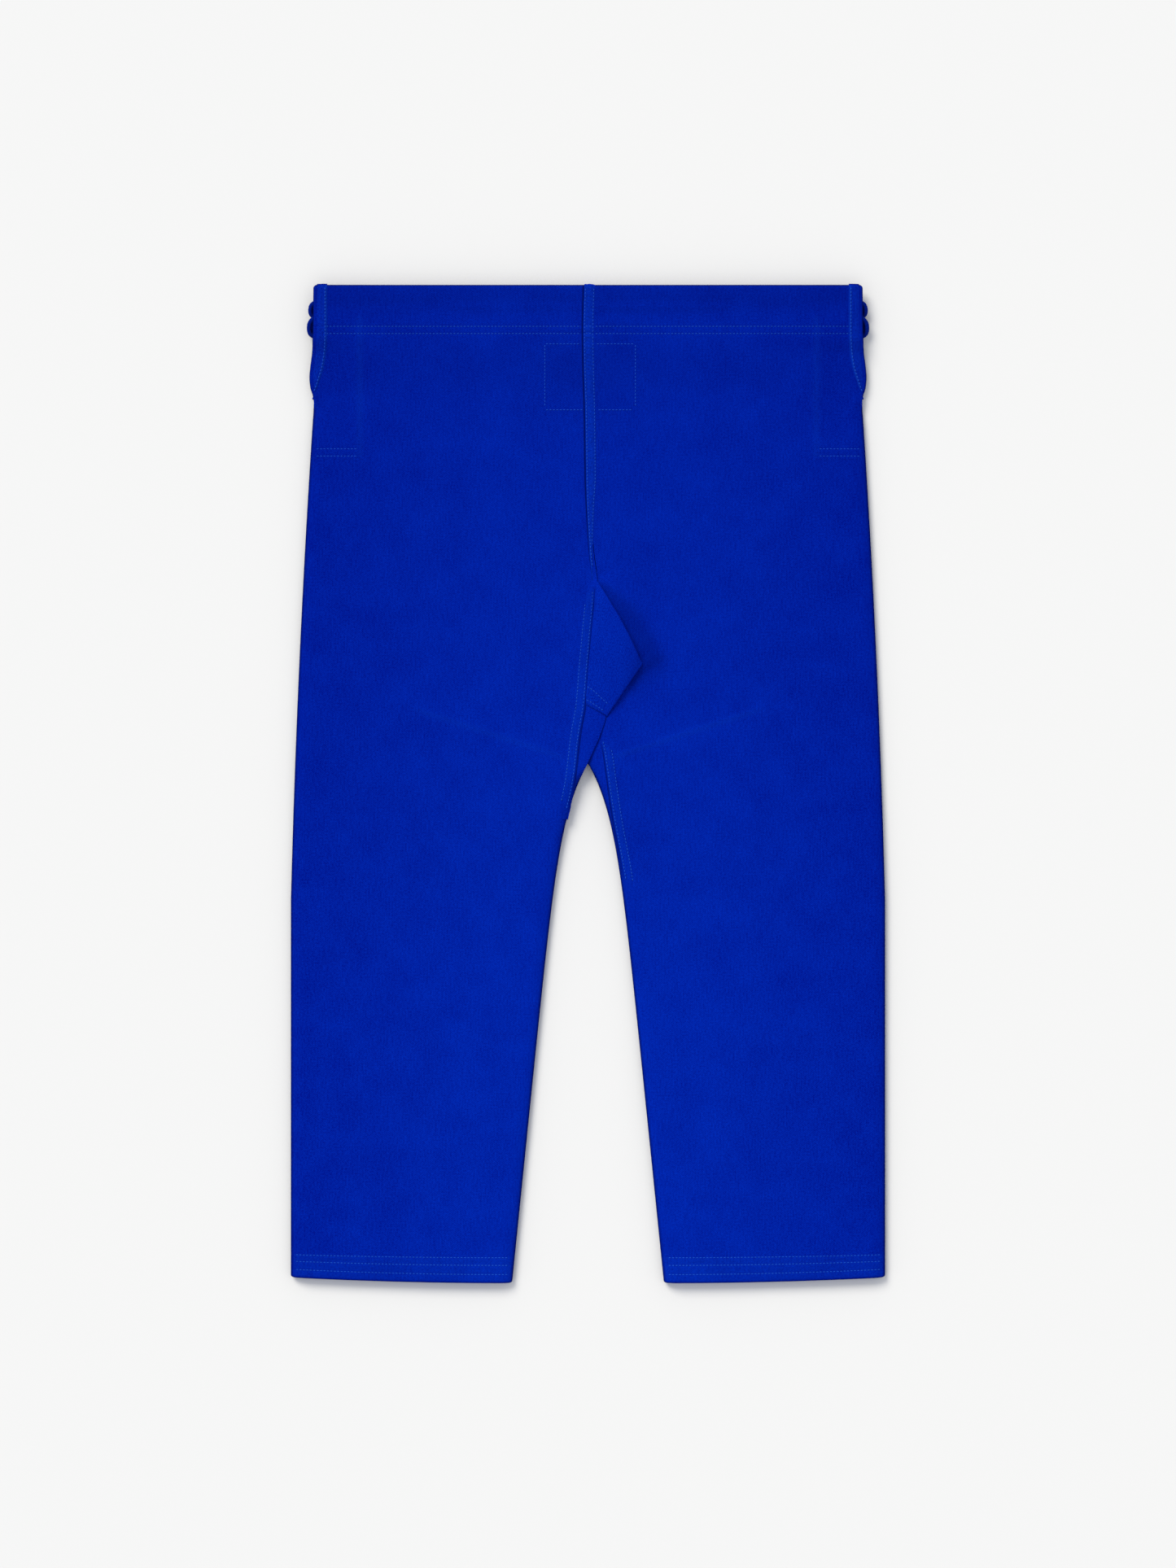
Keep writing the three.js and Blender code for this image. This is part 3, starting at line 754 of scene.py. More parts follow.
def rolled(turn, share):
    """(inset from the edge, fall below the flat cloth) at a share of the way round a rolled edge."""
    angle = turn * (1 - share)
    widest = SHOULDER * math.sin(min(turn, math.pi / 2))
    if angle < math.pi / 2:
        return widest - SHOULDER * math.sin(angle), SHOULDER_DROP * (1 - math.cos(angle))
    reach = SHOULDER - CURL + CURL * math.sin(angle)
    return widest - reach, SHOULDER_DROP - CURL_DROP * math.cos(angle)


def edge_turns(sign, y):
    """How far the outer and the inner edge of one side turn down."""
    outer = mix(math.radians(18), FULL_TURN, smooth(y, *VENT_TURN))
    lap = math.radians(30 if sign < 0 else 65)
    if y > CROTCH:
        return outer, lap * smooth(CROTCH - y, -70, -20)
    return outer, mix(lap, FULL_TURN, smooth(CROTCH - y, 0, 34))


def crotch_fall(sign, x, y):
    """The right cloth passes under the left one in the crotch; both sink a little into it."""
    drop = TOP - y
    if sign < 0:
        return 0.6 * smooth(drop, 405, 440) * smooth(drop, 500, 465) * smooth(x, -14, -2)
    under = smooth(drop, 270, 300) * smooth(drop, 520, 470)
    return under * (2.6 * smooth(x, 22, 9) + 0.6)


def edge_fall(distance, turn):
    """How far the cloth has fallen at a distance from an edge that turns down."""
    lean = clamp(math.sin(min(turn, math.pi / 2)) - max(distance, 0) / SHOULDER)
    return SHOULDER_DROP * (1 - math.sqrt(1 - lean * lean))


def cloth_top(sign, x, y):
    """Height of one side's back cloth, with its rolled edges, for what is sewn on it."""
    edges, turns = cloth_edges(sign, y), edge_turns(sign, y)
    fall = max(edge_fall(abs(x - edge), turn) for edge, turn in zip(edges, turns))
    return back_height(x, y) - crotch_fall(sign, x, y) - fall


EDGE_SHARES = spaced(0.0, (1.0, 0.084))
FLAT_ZONE = 12
cloth_columns = [
    *EDGE_SHARES,
    *spaced(1.1, (2.0, 0.1)),
    *spaced(2.0, (3.0, 0.0145))[1:],
    *spaced(3.1, (4.0, 0.1)),
    *[4 + share for share in EDGE_SHARES[1:]],
]
cloth_rows = spaced(
    BOTTOM, (BOTTOM + 2, 0.5), (BOTTOM + 27, 0.9), (KNEE_Y - 20, 4.2), (KNEE_Y + 20, 3),
    (CROTCH - 60, 3.4), (CROTCH + 4, 2.2), (CROTCH + 62, 1.2), (CROTCH + 80, 2.2),
    (VENT_BOTTOM - 64, 3.4), (VENT_BOTTOM - 46, 1.2), (VENT_BOTTOM - 8, 3), (CASING_BOTTOM - 3, 2),
    (CASING_BOTTOM + 9, 0.8), (TOP - TOP_ROLL - 4, 2), (TOP - TOP_ROLL, 1), (ROLL_END, 0.85),
)


def back_place(sign):
    """The place function of one side's back cloth."""

    def place(column, row):
        y = min(row, TOP - TOP_ROLL)
        outer, inner = cloth_edges(sign, y)
        outer_turn, inner_turn = edge_turns(sign, y)
        inward = 1 if outer < inner else -1
        share = column if sign < 0 else 5 - column
        outer_flat = outer + inward * rolled(outer_turn, 1)[0]
        inner_flat = inner - inward * rolled(inner_turn, 1)[0]
        fall = 0.0
        if share <= 1:
            inset, fall = rolled(outer_turn, share)
            x = outer + inward * inset
        elif share >= 4:
            inset, fall = rolled(inner_turn, 5 - share)
            x = inner - inward * inset
        elif share <= 2:
            x = outer_flat + inward * (share - 1) * FLAT_ZONE
        elif share >= 3:
            x = inner_flat - inward * (4 - share) * FLAT_ZONE
        else:
            x = mix(outer_flat + inward * FLAT_ZONE, inner_flat - inward * FLAT_ZONE, share - 2)
        z = back_height(x, y) - crotch_fall(sign, x, y)
        z -= fall * (z - 2.0) / (LEG_TOP - 2.0) if fall > 1.5 else fall
        z -= 0.9 * bump(row - BOTTOM, 0, 1.4)
        if row > TOP - TOP_ROLL:
            angle = (row - TOP + TOP_ROLL) / TOP_ROLL
            return x, y + TOP_ROLL * math.sin(angle), z - TOP_ROLL * (1 - math.cos(angle))
        return x, y + hem_lift(x, y), z

    return place


def painted_edge_highlight(side, drop):
    """Painted highlight where the cloth lies over a patch's raised edge and over the hem."""
    hip = bump(side, 219.5, 3.0) * smooth(drop, 168, 163)
    past_knee = drop - knee_top(side)
    knee = bump(past_knee, 1.5, 3.2) * smooth(side, 18, 30) * smooth(side, 172, 158)
    hem = smooth(drop - TOP + BOTTOM, -26, -24)
    return 0.035 * hip + 0.035 * knee + 0.03 * hem


def gusset_shade(past, along):
    """Painted shade on the right cloth beside the gusset's folded edge, where the cloth also slopes away."""
    if past < -20:
        return 0.0
    reach = 8 + 24 * clamp(2 * along)
    return 0.30 * smooth(past, reach, 0.4 * reach) * smooth(along, -0.05, 0.15) * smooth(along, 1.35, 1.0)


def back_shade_and_highlight(sign):
    """Painted shade at turned edges, hem, waist top and gusset; darker round the label; painted highlights.
    """

    def painted_shade_and_highlight(column, row, spot):
        drop = TOP - spot.y
        share = column if sign < 0 else 5 - column
        outer, inner = edge_turns(sign, min(row, TOP))
        turn = max(outer * (1 - share), inner * (share - 4))
        roll = smooth((row - TOP + TOP_ROLL) / TOP_ROLL, 0.5, 0.9)
        shade = 0.14 * smooth(drop, 34, 12) + 0.10 * bump(spot.x, 0, 62) * bump(drop, 85, 48)
        if sign > 0:
            shade += gusset_shade(*beside_gusset(spot.x, drop))
        dark = max(0.85 * max(smooth(turn, 0.95, 1.25), roll, 0.8 * bump(row - BOTTOM, 0, 1.1)), shade)
        return dark - painted_edge_highlight(abs(spot.x), TOP - row) * smooth(dark, 0.1, 0.02)

    return painted_shade_and_highlight


for side, sign in SIDES:
    bm = lay_cloth(cloth_columns, cloth_rows, back_place(sign), back_shade_and_highlight(sign))
    piece = finish_piece(
        f"{side}_back_cloth",
        bm,
        TWILL,
        ("seat", f"{side}_lower_leg"),
        [f"{side}_back_panel", f"{side}_lower_back_panel"],
        CLOTH,
    )
    print(piece.name, len(piece.data.polygons), "faces")

# %% [markdown]
# ## Front cloth and knee patches
#
# The front lies under the back, face down. Its edges are tucked inside the curl of the back cloth.
# At the front of the waist the cloth rolls up over the casing, 14 mm lower than at the back. A second
# layer covers each knee and shin on the outside and is sewn on round its edge.

# %% Front cloth, knee patches and hems
FRONT_TOP_FACE = FRONT_FACE + CLOTH
front_rows = spaced(
    BOTTOM, (BOTTOM + 30, 6), (KNEE_Y - 24, 14), (KNEE_Y + 24, 4), (CROTCH - 60, 10), (CROTCH + 10, 4),
    (FRONT_TOP - TOP_ROLL, 12), (FRONT_TOP + ROLL_END - TOP, 1),
)
TUCK = 2.5
PATCH_WALL = 0.95
KNEE_PATCH_TOP_INNER, KNEE_PATCH_TOP_OUTER = 9, 51


def front_place(sign):
    """The place function of one side's front cloth, whose edges are tucked in under the back's."""

    def place(column, row):
        y = min(row, FRONT_TOP - TOP_ROLL)
        outer = sign * (outer_half(y) - TUCK * smooth(y, *VENT_TURN))
        inner = sign * max(inner_half(y) + TUCK * smooth(CROTCH - y, 0, 30), 0.2)
        x = mix(outer, inner, column if sign < 0 else 1 - column)
        z = FRONT_TOP_FACE + 0.12 * wander(x, y, 60, 21)
        if row > FRONT_TOP - TOP_ROLL:
            angle = (row - FRONT_TOP + TOP_ROLL) / TOP_ROLL
            radius = TOP_ROLL - CLOTH
            return x, y + radius * math.sin(angle), z + radius * (1 - math.cos(angle))
        return x, y + hem_lift(x, y), z

    return place


def patch_place(sign):
    """The place function of one knee patch; column and row run from 0 to 1 across and up."""

    def place(column, row):
        share = column if sign > 0 else 1 - column
        top = CROTCH + mix(KNEE_PATCH_TOP_INNER, KNEE_PATCH_TOP_OUTER, share)
        y = mix(BOTTOM + 0.4, top, row)
        x = sign * mix(max(inner_half(y) + 1.3, KNEE_PATCH_INNER), KNEE_PATCH_OUTER, share)
        return x, y + hem_lift(x, y), FRONT_FACE - GAP + 0.05 * wander(x, y, 40, 23)

    return place


def hem_place(sign, level, tuck, lift):
    """The place function of a hem's turned-up layer, raised by lift at the fold."""

    def place(column, row):
        edges = inner_half(row) + tuck, outer_half(row) - tuck
        x = sign * mix(*edges, column if sign > 0 else 1 - column)
        return x, row + hem_lift(x, row), level + lift * bump(row - BOTTOM, 0, 2.5)

    return place


HEM_TURNS = (
    ("back", LEG_TOP - CLOTH - GAP, SHOULDER, 0.1),
    ("front", FRONT_TOP_FACE + GAP + FACING, 6, -0.2),
)
hem_rows = spaced(BOTTOM + 0.3, (BOTTOM + 5, 0.7), (BOTTOM + HEM_DEPTH, 3.5))


for side, sign in SIDES:
    legs = ("seat", f"{side}_lower_leg")
    bm = lay_cloth(spaced(0, (1, 0.025)), front_rows, front_place(sign))
    finish_piece(
        f"{side}_front_cloth", bm, TWILL, legs,
        [f"{side}_front_panel", f"{side}_lower_front_panel"], CLOTH,
    )
    bm = lay_cloth(spaced(0, (1, 0.04)), spaced(0, (1, 0.0125)), patch_place(sign))
    finish_piece(
        f"{side}_knee_reinforcement", bm, SEAM_TWILL, legs,
        [f"{side}_knee_patch", f"{side}_shin_patch"], PATCH_WALL,
    )
    for layer, level, tuck, lift in HEM_TURNS:
        bm = lay_cloth(spaced(0, (1, 0.05)), hem_rows, hem_place(sign, level, tuck, lift))
        node = f"{side}_{layer}_hem"
        finish_piece(f"{node}_turn", bm, SEAM_TWILL, f"{side}_lower_leg", [node], FACING)
print("front, knee patches and hems laid")

# %% [markdown]
# ## Waist casings, hip patches and label
#
# The rolled top of the cloth carries on inside as a casing, a flat tunnel for the cord. Only its
# inner layer is left to make. It rises to meet the outer cloth at the stitch rows that close it.
# Two hip patches and a blank label are sewn on inside the back.

# %% Casings, hip patches and label
def band_place(from_x, to_x, foot, top, level, meet):
    """The inner layer of a casing; its foot bends by meet towards the outer layer."""

    def place(column, row):
        x = mix(from_x, to_x, column)
        y = mix(foot, top, row)
        bend = meet * smooth(y, foot + 9, foot + 1)
        return x, y, level + bend + 0.15 * wander(x, y, 25, 31)

    return place


def inside_place(x_edges, foot, top):
    """A layer on the inside of the back, under its cloth."""

    def place(column, row):
        x, y = mix(*x_edges, column), mix(foot, top, row)
        return x, y, back_height(x, y) - CLOTH - 0.35

    return place


def finish_band(name, place, node):
    bm = lay_cloth(spaced(0, (1, 0.02)), spaced(0, (1, 0.05)), place)
    finish_piece(name, bm, SEAM_TWILL, "seat", [node], CLOTH)


MEET = 4.6
LABEL_HEM = 2
back_band = band_place(
    -CASING_END, CASING_END, CASING_BOTTOM, TOP - TOP_ROLL, BACK_CASING_FACE + CLOTH, MEET
)
finish_band("back_casing_band", back_band, "back_waist_casing")
for side, sign in SIDES:
    edges = sorted((sign * OPENING_EDGE, sign * CASING_END))
    front_band = band_place(*edges, FRONT_CASING_BOTTOM, FRONT_TOP - TOP_ROLL, FRONT_CASING_TOP, -MEET)
    finish_band(f"{side}_front_casing_band", front_band, f"{side}_front_waist_casing")
    start, end = low(f"{side}_hip_patch"), high(f"{side}_hip_patch")
    bm = lay_cloth(
        spaced(0, (1, 0.1)), spaced(0, (1, 0.02)), inside_place((start.x, end.x), start.y, end.y)
    )
    finish_piece(
        f"{side}_hip_reinforcement", bm, TWILL, "seat", [f"{side}_hip_patch"], FACING
    )
left, right, top, foot = LABEL
place = inside_place((left - LABEL_HEM, right + LABEL_HEM), TOP - foot - LABEL_HEM, TOP - top + LABEL_HEM)
bm = lay_cloth(spaced(0, (1, 0.05)), spaced(0, (1, 0.05)), place)
finish_piece("blank_inner_label", bm, LABEL_TAPE, "seat", ["inner_label"], FACING)
print("waist inside done")

# %% [markdown]
# ## Side vents
#
# The waist is slit at both sides. A narrow facing is folded round each cut edge, outside and in, and
# ends in a curved point below the slit, where it stands out a little from the cord loops behind it.
# The grid runs from the stitched edge over the fold and round to the inside.

# %% Vent facings
VENT_FOOT = 109.5
CORNER = 3.6
facing_inner = through(
    (0, 251.3), (46.6, 251.3), (62, 252.2), (77, 254.4),
    (92, 258.8), (99, 261.2), (105, 263.4), (VENT_FOOT, 264.8),
)


def facing_place(sign, front):
    """The place function of a facing; the front one stays slimmer, clear of the loops pulled out."""
    fold = 0.95 if front else 1.5

    def place(column, row):
        drop = max(TOP - row, 0)
        inner = facing_inner(drop)
        stands_out = 2.6 * smooth(drop, 14, 22) * smooth(drop, 54, 46) if front else 0.4
        outer = HALF_WAIST + vent_bulge(drop) + stands_out
        from_top = drop - (TOP - FRONT_TOP if front else 0)
        outer -= CORNER - math.sqrt(max(CORNER**2 - max(CORNER - from_top, 0) ** 2, 0.01))
        flat_end = outer - fold
        if column <= 1:
            side = mix(inner, max(flat_end, inner + 0.2), column)
            rise = 0.75 * smooth(column, -0.02, 0.1)
        else:
            angle = (column - 1) * math.pi
            side = flat_end + fold * math.sin(angle)
            rise = 0.75 - fold * (1 - math.cos(angle))
        rise += 0.18 * wander(side, row, 5, 41) * bump(drop, 95, 25)
        if front:
            return sign * side, row, FRONT_FACE - 0.1 - rise
        y = min(row, TOP - 0.2)
        shoulder = 1.4 * smooth(drop, 3, 0) + 1.8 * smooth(side, flat_end - 6, outer)
        return sign * side, row, back_height(sign * min(side, HALF_WAIST), y) + rise + 0.05 - shoulder

    return place


def facing_shade_and_highlight(column, row, spot):
    """Painted shade where the facing folds round and at its top; painted highlight along its stitched edge.
    """
    dark = max(0.8 * smooth(column, 1.05, 1.3), 0.5 * bump(row, TOP + 0.8, 0.7))
    return dark - (0.02 + 0.12 * bump(column, 0.05, 0.07)) * smooth(dark, 0.1, 0.0)


facing_columns = [-0.1, -0.04, 0.0, 0.03, 0.07, 0.12, *spaced(0.2, (1.0, 0.1)), *spaced(1.1, (2.0, 0.1))]
for side, sign in SIDES:
    for front in (False, True):
        head = FRONT_TOP if front else TOP + 0.8
        facing_rows = spaced(TOP - VENT_FOOT, (head - 6, 0.9), (head, 0.25))
        bm = lay_cloth(facing_columns, facing_rows, facing_place(sign, front), facing_shade_and_highlight)
        if (sign < 0) != front:
            bmesh.ops.reverse_faces(bm, faces=bm.faces)
        node = f"{side}_{'front' if front else 'back'}_vent_facing"
        finish_piece(node.replace("facing", "binding"), bm, SEAM_TWILL, "seat", [node], 0.5)
print("vent facings folded")

# %% [markdown]
# ## Felled seams
#
# A felled seam folds one cloth edge over the other and sews it flat with two rows. Its folded edge
# shows as a dark line, partly real shade of the fold and partly painted shade, its other side as a soft
# step, and the cloth between the rows puckers. Each seam is its own strip over the cloth: it climbs
# steeply at the fold and dies away on the other side.

# %% Felled seams


def felled(sign, line, width, puckers, mirror=False, rise=0.95, ends=None, dark=0.8):
    """A place function, and a function for its painted shade and highlight, for a seam whose folded
    edge follows a line of drop.

    It rises between the first two drops of ends and dies away between the last two. Its strip goes
    from the folded edge (column 0) to the far side (column 1).
    """

    def presence(drop):
        return smooth(drop, ends[0], ends[1]) * smooth(drop, ends[3], ends[2]) if ends else 1.0

    def place(column, row):
        drop = TOP - row
        reach = column * width(drop)
        x = line(drop) + (-reach if mirror else reach)
        share = clamp(column)
        lift = rise * smooth(column, 0.0, 0.09) * (1 - smooth(column, 0.55, 1.02))
        ripple = math.sin(2 * math.pi * (row / 3.3 + (share - 0.5) * 0.9))
        lift += puckers * math.sin(math.pi * share) * (0.16 * ripple + 0.5 * wander(x, row, 3.2, 51))
        lift *= presence(drop)
        base = 0.22 - 0.14 * smooth(column, 0.6, 1.0) - 0.5 * (1 - presence(drop))
        if column < -0.13 or column > 1.02:
            base -= 0.5
        y = min(row, TOP - TOP_ROLL)
        z = cloth_top(sign, x, y) + base + lift * smooth(width(drop), 0.6, 4)
        if row > TOP - TOP_ROLL:
            angle = (row - TOP + TOP_ROLL) / TOP_ROLL
            swell = TOP_ROLL + lift
            return x, y + swell * math.sin(angle), z - swell * (1 - math.cos(angle))
        return x, row, z

    def painted_shade_and_highlight(column, row, spot):
        # Painted shade along the folded edge makes the dark line; the far side gets a faint painted highlight
        shade = dark if -0.12 <= column <= 0.03 else -0.04 * smooth(column, 1.0, 0.8)
        return presence(TOP - row) * shade

    return place, painted_shade_and_highlight


SEAM_WALL = 0.4
SEAM_FOOT = 284
FRONT_SEAM_WIDTH = 9.4
seam_columns = [-0.16, -0.11, -0.06, -0.01, 0.02, 0.05, 0.09, 0.14]
seam_columns += [*spaced(0.2, (0.9, 0.07)), 0.95, 1.0, 1.05]
seam_rows = spaced(TOP - SEAM_FOOT, (TOP - TOP_ROLL, 0.8), (TOP - TOP_ROLL + TOP_ROLL * math.pi * 0.9, 0.8))
seam_width = through((0, 10.8), (180, 10.4), (215, 7.5), (250, 4.2), (278, 1.2), (286, 0.5))
bm = lay_cloth(seam_columns, seam_rows, *felled(-1, centre_line, seam_width, 1.2))
finish_piece("centre_back_felled_seam", bm, SEAM_TWILL, "seat", ["centre_back_seam"], SEAM_WALL)

left_width = through((284, 2.5), (300, 8.5), (330, 10.5), (460, 11), (516, 11))
right_width = through((430, 2), (445, 8), (600, 10.5))
inseams = (
    ("left", -1, left_inseam_line, left_width, (SEAM_FOOT, 300, 470, 514)),
    ("right", 1, right_inseam_line, right_width, (430, 452, 540, 596)),
)
for side, sign, line, width, ends in inseams:
    place, painted_shade_and_highlight = felled(sign, line, width, 0.5, mirror=sign < 0, rise=0.35, ends=ends, dark=0.6)
    bm = lay_cloth(
        sorted(sign * column for column in seam_columns),
        spaced(TOP - ends[3], (TOP - ends[0], 0.9)),
        lambda column, row: place(sign * column, row),
        lambda column, row, spot: painted_shade_and_highlight(sign * column, row, spot),
    )
    finish_piece(f"{side}_felled_inseam", bm, TWILL, "seat", [f"{side}_inseam"], SEAM_WALL)


def front_seam_place(column, row):
    lift = 0.8 * smooth(column, 0, 0.1) * smooth(column, 1, 0.9)
    return FRONT_SEAM_WIDTH * (column - 0.5), row, FRONT_FACE - 0.1 - lift


FRONT_SEAM_WALL = 0.3
front_seam_rows = spaced(CROTCH + FRONT_SEAM_WIDTH, (FRONT_CASING_BOTTOM, 3))
bm = lay_cloth(seam_columns, front_seam_rows, front_seam_place)
bmesh.ops.reverse_faces(bm, faces=bm.faces)
finish_piece(
    "centre_front_felled_seam", bm, SEAM_TWILL, "seat", ["centre_front_seam"], FRONT_SEAM_WALL
)
print("felled seams sewn")

# %% [markdown]
# ## Crotch gusset
#
# A kite of bias-cut cloth is let into the crotch. It is not flat: it is tucked under the left seam
# and rises to a folded edge that stands over the right cloth and shades it; beside that edge the right
# cloth also carries painted shade. The grid runs across the kite, with a few more rows that carry the
# cloth over the fold and down.

# %% Crotch gusset


def arch(share, power=1.0):
    """An arch that is 0 at both ends and 1 in the middle."""
    return (4 * share * (1 - share)) ** power


def gusset_place(a, b):
    """a goes from the left seam to the lower right fold, b from the bottom seam to the upper right one.

    Values over 1 carry the cloth round the fold and down.
    """
    over_a, over_b = max(a - 1, 0), max(b - 1, 0)
    a, b = min(a, 1), min(b, 1)
    top, outer, bottom, inner = (Vector(corner) for corner in GUSSET.values())
    spot = inner.lerp(bottom, a).lerp(top.lerp(outer, a), b)
    to_seam = (left_inseam_line(spot.y) - spot.x) * (1 - smooth(a, 0, 0.25))
    spot.x += to_seam * smooth(b, 0.0, 0.1) * smooth(b, 1, 0.9)
    spot += Vector((2.0, -1.2)) * arch(a) * b**4
    rise = 13.0 * arch(a, 0.8) * b**1.5 + 3.5 * arch(b, 0.8) * a**1.5 + 4.5 * (a * b) ** 2
    rise += 0.35 * wander(spot.x, spot.y, 18, 61) * a * b
    spot.x += 1.2 * wander(spot.x, spot.y, 13, 63) * smooth(b, 0.9, 1) * smooth(a, 0, 0.2)
    x, y = spot.x, TOP - spot.y
    z = LEG_TOP + 0.9 + rise - 0.75 * smooth(a, 0.12, 0)
    fold = clamp((over_a + over_b) * 2)
    angle = fold * math.pi
    out = 1.5 * math.sin(angle) - 2.0 * smooth(fold, 0.6, 1)
    direction = Vector((0.87, 0.5)) * over_b + Vector((0.75, -0.66)) * over_a
    if direction.length > 0:
        direction.normalize()
        x, y = x + direction.x * out, y + direction.y * out
    z -= smooth(fold, 0, 1) * (rise + 1.2) + 0.5 * fold * fold
    return x, y, z


kite_steps = [*spaced(0, (1, 0.025)), 1.05, 1.1, 1.16, 1.22, 1.3, 1.4, 1.5]
bm = lay_cloth(kite_steps, kite_steps, gusset_place)
finish_piece("bias_crotch_gusset", bm, GUSSET_TWILL, "seat", ["crotch_gusset"], FACING)
print("gusset set in")

# %% [markdown]
# ## Stitching
#
# The rows are sewn with a blue thread a touch lighter than the cloth, about 8 stitches to 26 mm. One
# stitch is a small lozenge of 24 faces. It is repeated along a straight line by a spin that only
# moves, and the straight row is then laid along its seam. All the rows of one part are one piece.

# %% Stitch helpers
PITCH = 3.3
STITCH_LENGTH, STITCH_WIDTH, STITCH_HEIGHT = 2.2, 0.85, 0.7
ROW_START = PITCH / 2 + 0.5
TURN_ALONG_X = Vector((0, 0, 1)).rotation_difference(Vector((1, 0, 0))).to_matrix()


def straight_row(count, width):
    """A bmesh of stitches, a PITCH apart along x."""
    bm = bmesh.new()
    bmesh.ops.create_uvsphere(bm, u_segments=6, v_segments=4, radius=0.5)
    bmesh.ops.rotate(bm, verts=bm.verts, matrix=TURN_ALONG_X)
    bmesh.ops.scale(bm, vec=(STITCH_LENGTH, width, STITCH_HEIGHT), verts=bm.verts)
    if count > 1:
        bmesh.ops.spin(
            bm, geom=[*bm.verts, *bm.edges, *bm.faces], cent=(0, 0, 0), axis=(0, 0, 1), dvec=(PITCH, 0, 0),
            angle=0, steps=count - 1, use_merge=False, use_normal_flip=False, use_duplicate=True,
        )
    return bm


def sew(name, rows, body, face=1, width=STITCH_WIDTH):
    """One piece of stitches along several lines of points; face is -1 on the underside."""
    whole = bmesh.new()
    for points in rows:
        points = [Vector(p) for p in points]
        at = [0.0]
        for a, b in zip(points, points[1:]):
            at.append(at[-1] + (b - a).length)
        count = int((at[-1] - 1) / PITCH)
        if count < 1:
            continue
        row = straight_row(count, width)
        for vert in row.verts:
            reach = vert.co.x + ROW_START
            i = min(bisect_right(at, clamp(reach, 0, at[-1] - 0.001)) - 1, len(points) - 2)
            heading = (points[i + 1] - points[i]).normalized()
            beside = Vector((-heading.y, heading.x, 0))
            up = Vector((0, 0, face * (vert.co.z + 0.12)))
            vert.co = points[i] + heading * (reach - at[i]) + beside * vert.co.y + up
        mesh = bpy.data.meshes.new("row")
        row.to_mesh(mesh)
        row.free()
        whole.from_mesh(mesh)
        bpy.data.meshes.remove(mesh)
    if face < 0:
        bmesh.ops.reverse_faces(whole, faces=whole.faces)
    weave = whole.loops.layers.uv.new("weave")
    for vert in whole.verts:
        for loop in vert.link_loops:
            loop[weave].uv = vert.co.x * MM, vert.co.y * MM
    return finish_piece(name, whole, THREAD, body)


def across_row(from_x, to_x, y, lift=0.0):
    """A line of points across the back cloth; lift is for what lies between the cloth and the thread."""
    points = []
    for x in spaced(from_x, (to_x, 3)):
        points.append((x, y + hem_lift(x, y), cloth_top(-1 if x < 0 else 1, x, y) + lift))
    return points


def down_row(line, from_drop, to_drop, lift=0.0, sign=0):
    """A line of points down the back cloth of one side, or of the side that x is on."""
    points = []
    for drop in spaced(from_drop, (to_drop, 2.5)):
        x, y = line(drop), TOP - drop
        points.append((x, y, cloth_top(sign or (-1 if x < 0 else 1), x, y) + lift))
    return points


print("a stitch every", PITCH, "mm")

# %% [markdown]
# The waist rows step up over the centre seam and so are sewn in three lengths each. The label's rows
# stop at the seam on both sides.

# %% Rows on the seat
waist_rows, seat_rows = [], []
left, right, top, foot = LABEL
for drop in CASING_ROWS:
    fold, y = centre_line(drop), TOP - drop
    waist_rows.append(across_row(-CASING_END - 1, fold - 1, y, 0.15))
    waist_rows.append(across_row(fold + 1.5, fold + 10, y, 1.2))
    waist_rows.append(across_row(fold + 11, CASING_END + 1, y, 0.15))
sew("waist_stitching", waist_rows, "seat")

# Each of the label's rows stops where the seam runs at its second number.
for drop, seam_at in ((top, 60), (foot, 120)):
    seat_rows.append(across_row(left, centre_line(seam_at) - 1, TOP - drop))
    seat_rows.append(across_row(centre_line(seam_at) + 12, right, TOP - drop))
for edge in (left, right):
    seat_rows.append(down_row(lambda drop: edge, top, foot))
for _, sign in SIDES:
    for drop in HIP_ROWS:
        seat_rows.append(across_row(sign * 262, sign * 219, TOP - drop))
sew("seat_stitching", seat_rows, "seat")


def shifted(line, distance):
    """The line moved sideways, for a row that runs along it."""
    return lambda drop: line(drop) + distance


by_the_fold = down_row(shifted(centre_line, 1.6), 3, 272, 1.35, -1)
far_row = down_row(lambda drop: centre_line(drop) + seam_width(drop) - 1.2, 3, 262, 0.5, -1)
sew("centre_back_stitching", [by_the_fold, far_row], "seat")
by_the_fold = down_row(shifted(left_inseam_line, -1.8), 294, 505, 0.75, -1)
far_row = down_row(shifted(left_inseam_line, -8.6), 306, 498, 0.4, -1)
sew("left_inseam_stitching", [by_the_fold, far_row], "seat")
by_the_fold = down_row(shifted(right_inseam_line, 1.8), 438, 575, 0.75, 1)
far_row = down_row(shifted(right_inseam_line, 8.2), 446, 575, 0.35, 1)
sew("right_inseam_stitching", [by_the_fold, far_row], "seat")
print("seat stitched")

# %% [markdown]
# The vents' rows lie on the facings. The knee patches are on the underside, so their stitches hang
# from the patch, one patch thickness down.

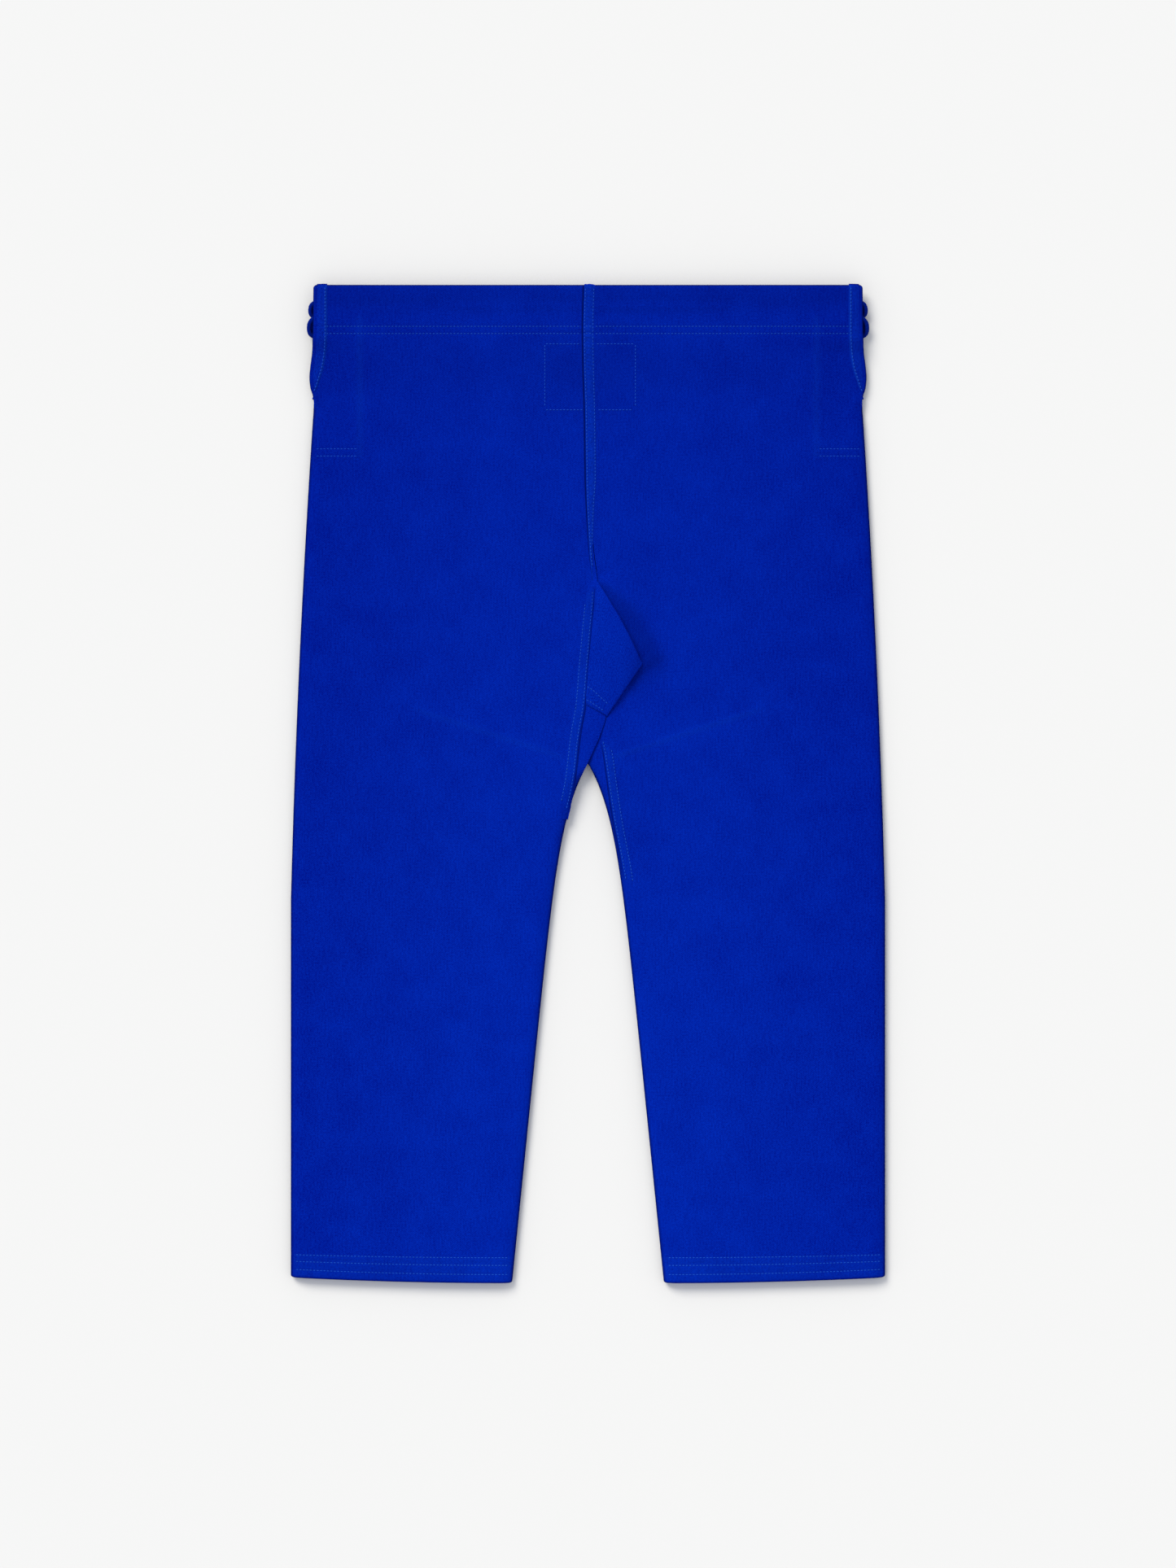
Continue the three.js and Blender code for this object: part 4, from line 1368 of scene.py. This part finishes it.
# %% Rows on the vents, hems, knees and gusset
for side, sign in SIDES:
    vent_row = down_row(lambda drop: sign * (facing_inner(drop) + 1.2), 2, 104, 1.12)
    sew(f"{side}_vent_stitching", [vent_row], "seat", width=1.2)
    ends = sign * (inner_half(BOTTOM) + 3.5), sign * (HALF_SPAN - 3.5)
    hem_rows = [across_row(*ends, BOTTOM + above) for above in HEM_ROWS]
    sew(f"{side}_hem_stitching", hem_rows, f"{side}_lower_leg")
    patch = patch_place(sign)
    borders = [
        [patch(0.98, k / 100) for k in range(100)],
        [patch(0.03, k / 100) for k in range(100)],
        [patch(k / 30, 0.993) for k in range(1, 30)],
    ]
    borders = [[(x, y, z - PATCH_WALL) for x, y, z in border] for border in borders]
    sew(f"{side}_knee_stitching", borders, ("seat", f"{side}_lower_leg"), -1)
gusset_rows = [
    [gusset_place(mix(start, 0.94, k / 20), level) for k in range(21)]
    for start, level in ((0.04, 0.045), (0.06, 0.16))
]
sew("gusset_stitching", gusset_rows, "seat")
print("vents, hems, knee patches and gusset stitched")

# %% [markdown]
# ## Cloth sizes
#
# The size that each piece of cloth was cut to is worked out and printed. The panels are not
# rectangles, so their flat area is added up from the outline, row by row.


def panel_area(sign, allowance):
    """Flat area of one side in square metres, with an allowance in mm for what rolls under."""
    step = 4
    rows = [BOTTOM + step * (k + 0.5) for k in range(int((TOP - BOTTOM) / step))]
    widths = [abs(cloth_edges(sign, y)[0] - cloth_edges(sign, y)[1]) + allowance for y in rows]
    return sum(widths) * step * MM * MM


def pieces(*names):
    return [bpy.data.objects[name] for name in names]


def cut_size(name):
    """(width, length) and area of a flat piece in metres, as it was laid out."""
    mesh = bpy.data.objects[name].data
    spots = [loop.uv for loop in mesh.uv_layers["weave"].data]
    size = [max(spot[k] for spot in spots) - min(spot[k] for spot in spots) for k in (0, 1)]
    return size, min(sum(face.area for face in mesh.polygons), size[0] * size[1])


BACK_CUT, FRONT_CUT = (0.312, 0.975), (0.292, 0.965)
ROLLED_UNDER = 14
BACK_TRIMS = ("back_hem_turn", "back_vent_binding", "vent_stitching", "hem_stitching")
FRONT_TRIMS = ("front_hem_turn", "front_vent_binding", "knee_stitching")
for side, sign in SIDES:
    back, front = pieces(f"{side}_back_cloth", f"{side}_front_cloth")
    for cloth, cut, under, allowance, trim_names in (
        (back, BACK_CUT, front, ROLLED_UNDER, BACK_TRIMS),
        (front, FRONT_CUT, "floor", 0, FRONT_TRIMS),
    ):
        area = panel_area(sign, allowance)
        trims = pieces(*(f"{side}_{trim}" for trim in trim_names))
        print(cloth.name, round(area, 3), "square metres flat")

LAID_ON = {
    "back_casing_band": "left_back_cloth",
    "blank_inner_label": "left_back_cloth",
    "bias_crotch_gusset": "right_back_cloth",
    "centre_back_felled_seam": "left_back_cloth",
    "centre_front_felled_seam": "left_front_cloth",
    "left_felled_inseam": "left_back_cloth",
    "right_felled_inseam": "right_back_cloth",
}
SEWN_WITH = {
    "bias_crotch_gusset": ["gusset_stitching"],
    "centre_back_felled_seam": ["centre_back_stitching"],
    "left_felled_inseam": ["left_inseam_stitching"],
    "right_felled_inseam": ["right_inseam_stitching"],
    "back_casing_band": ["waist_stitching", "seat_stitching"],
}
for side, _ in SIDES:
    LAID_ON[f"{side}_knee_reinforcement"] = f"{side}_front_cloth"
    LAID_ON[f"{side}_front_casing_band"] = f"{side}_front_cloth"
    LAID_ON[f"{side}_hip_reinforcement"] = f"{side}_back_cloth"
for name, under in LAID_ON.items():
    size, area = cut_size(name)
    [piece] = pieces(name)
    trims = pieces(*SEWN_WITH.get(name, []))
    print(name, [round(v / MM) for v in size], "mm")
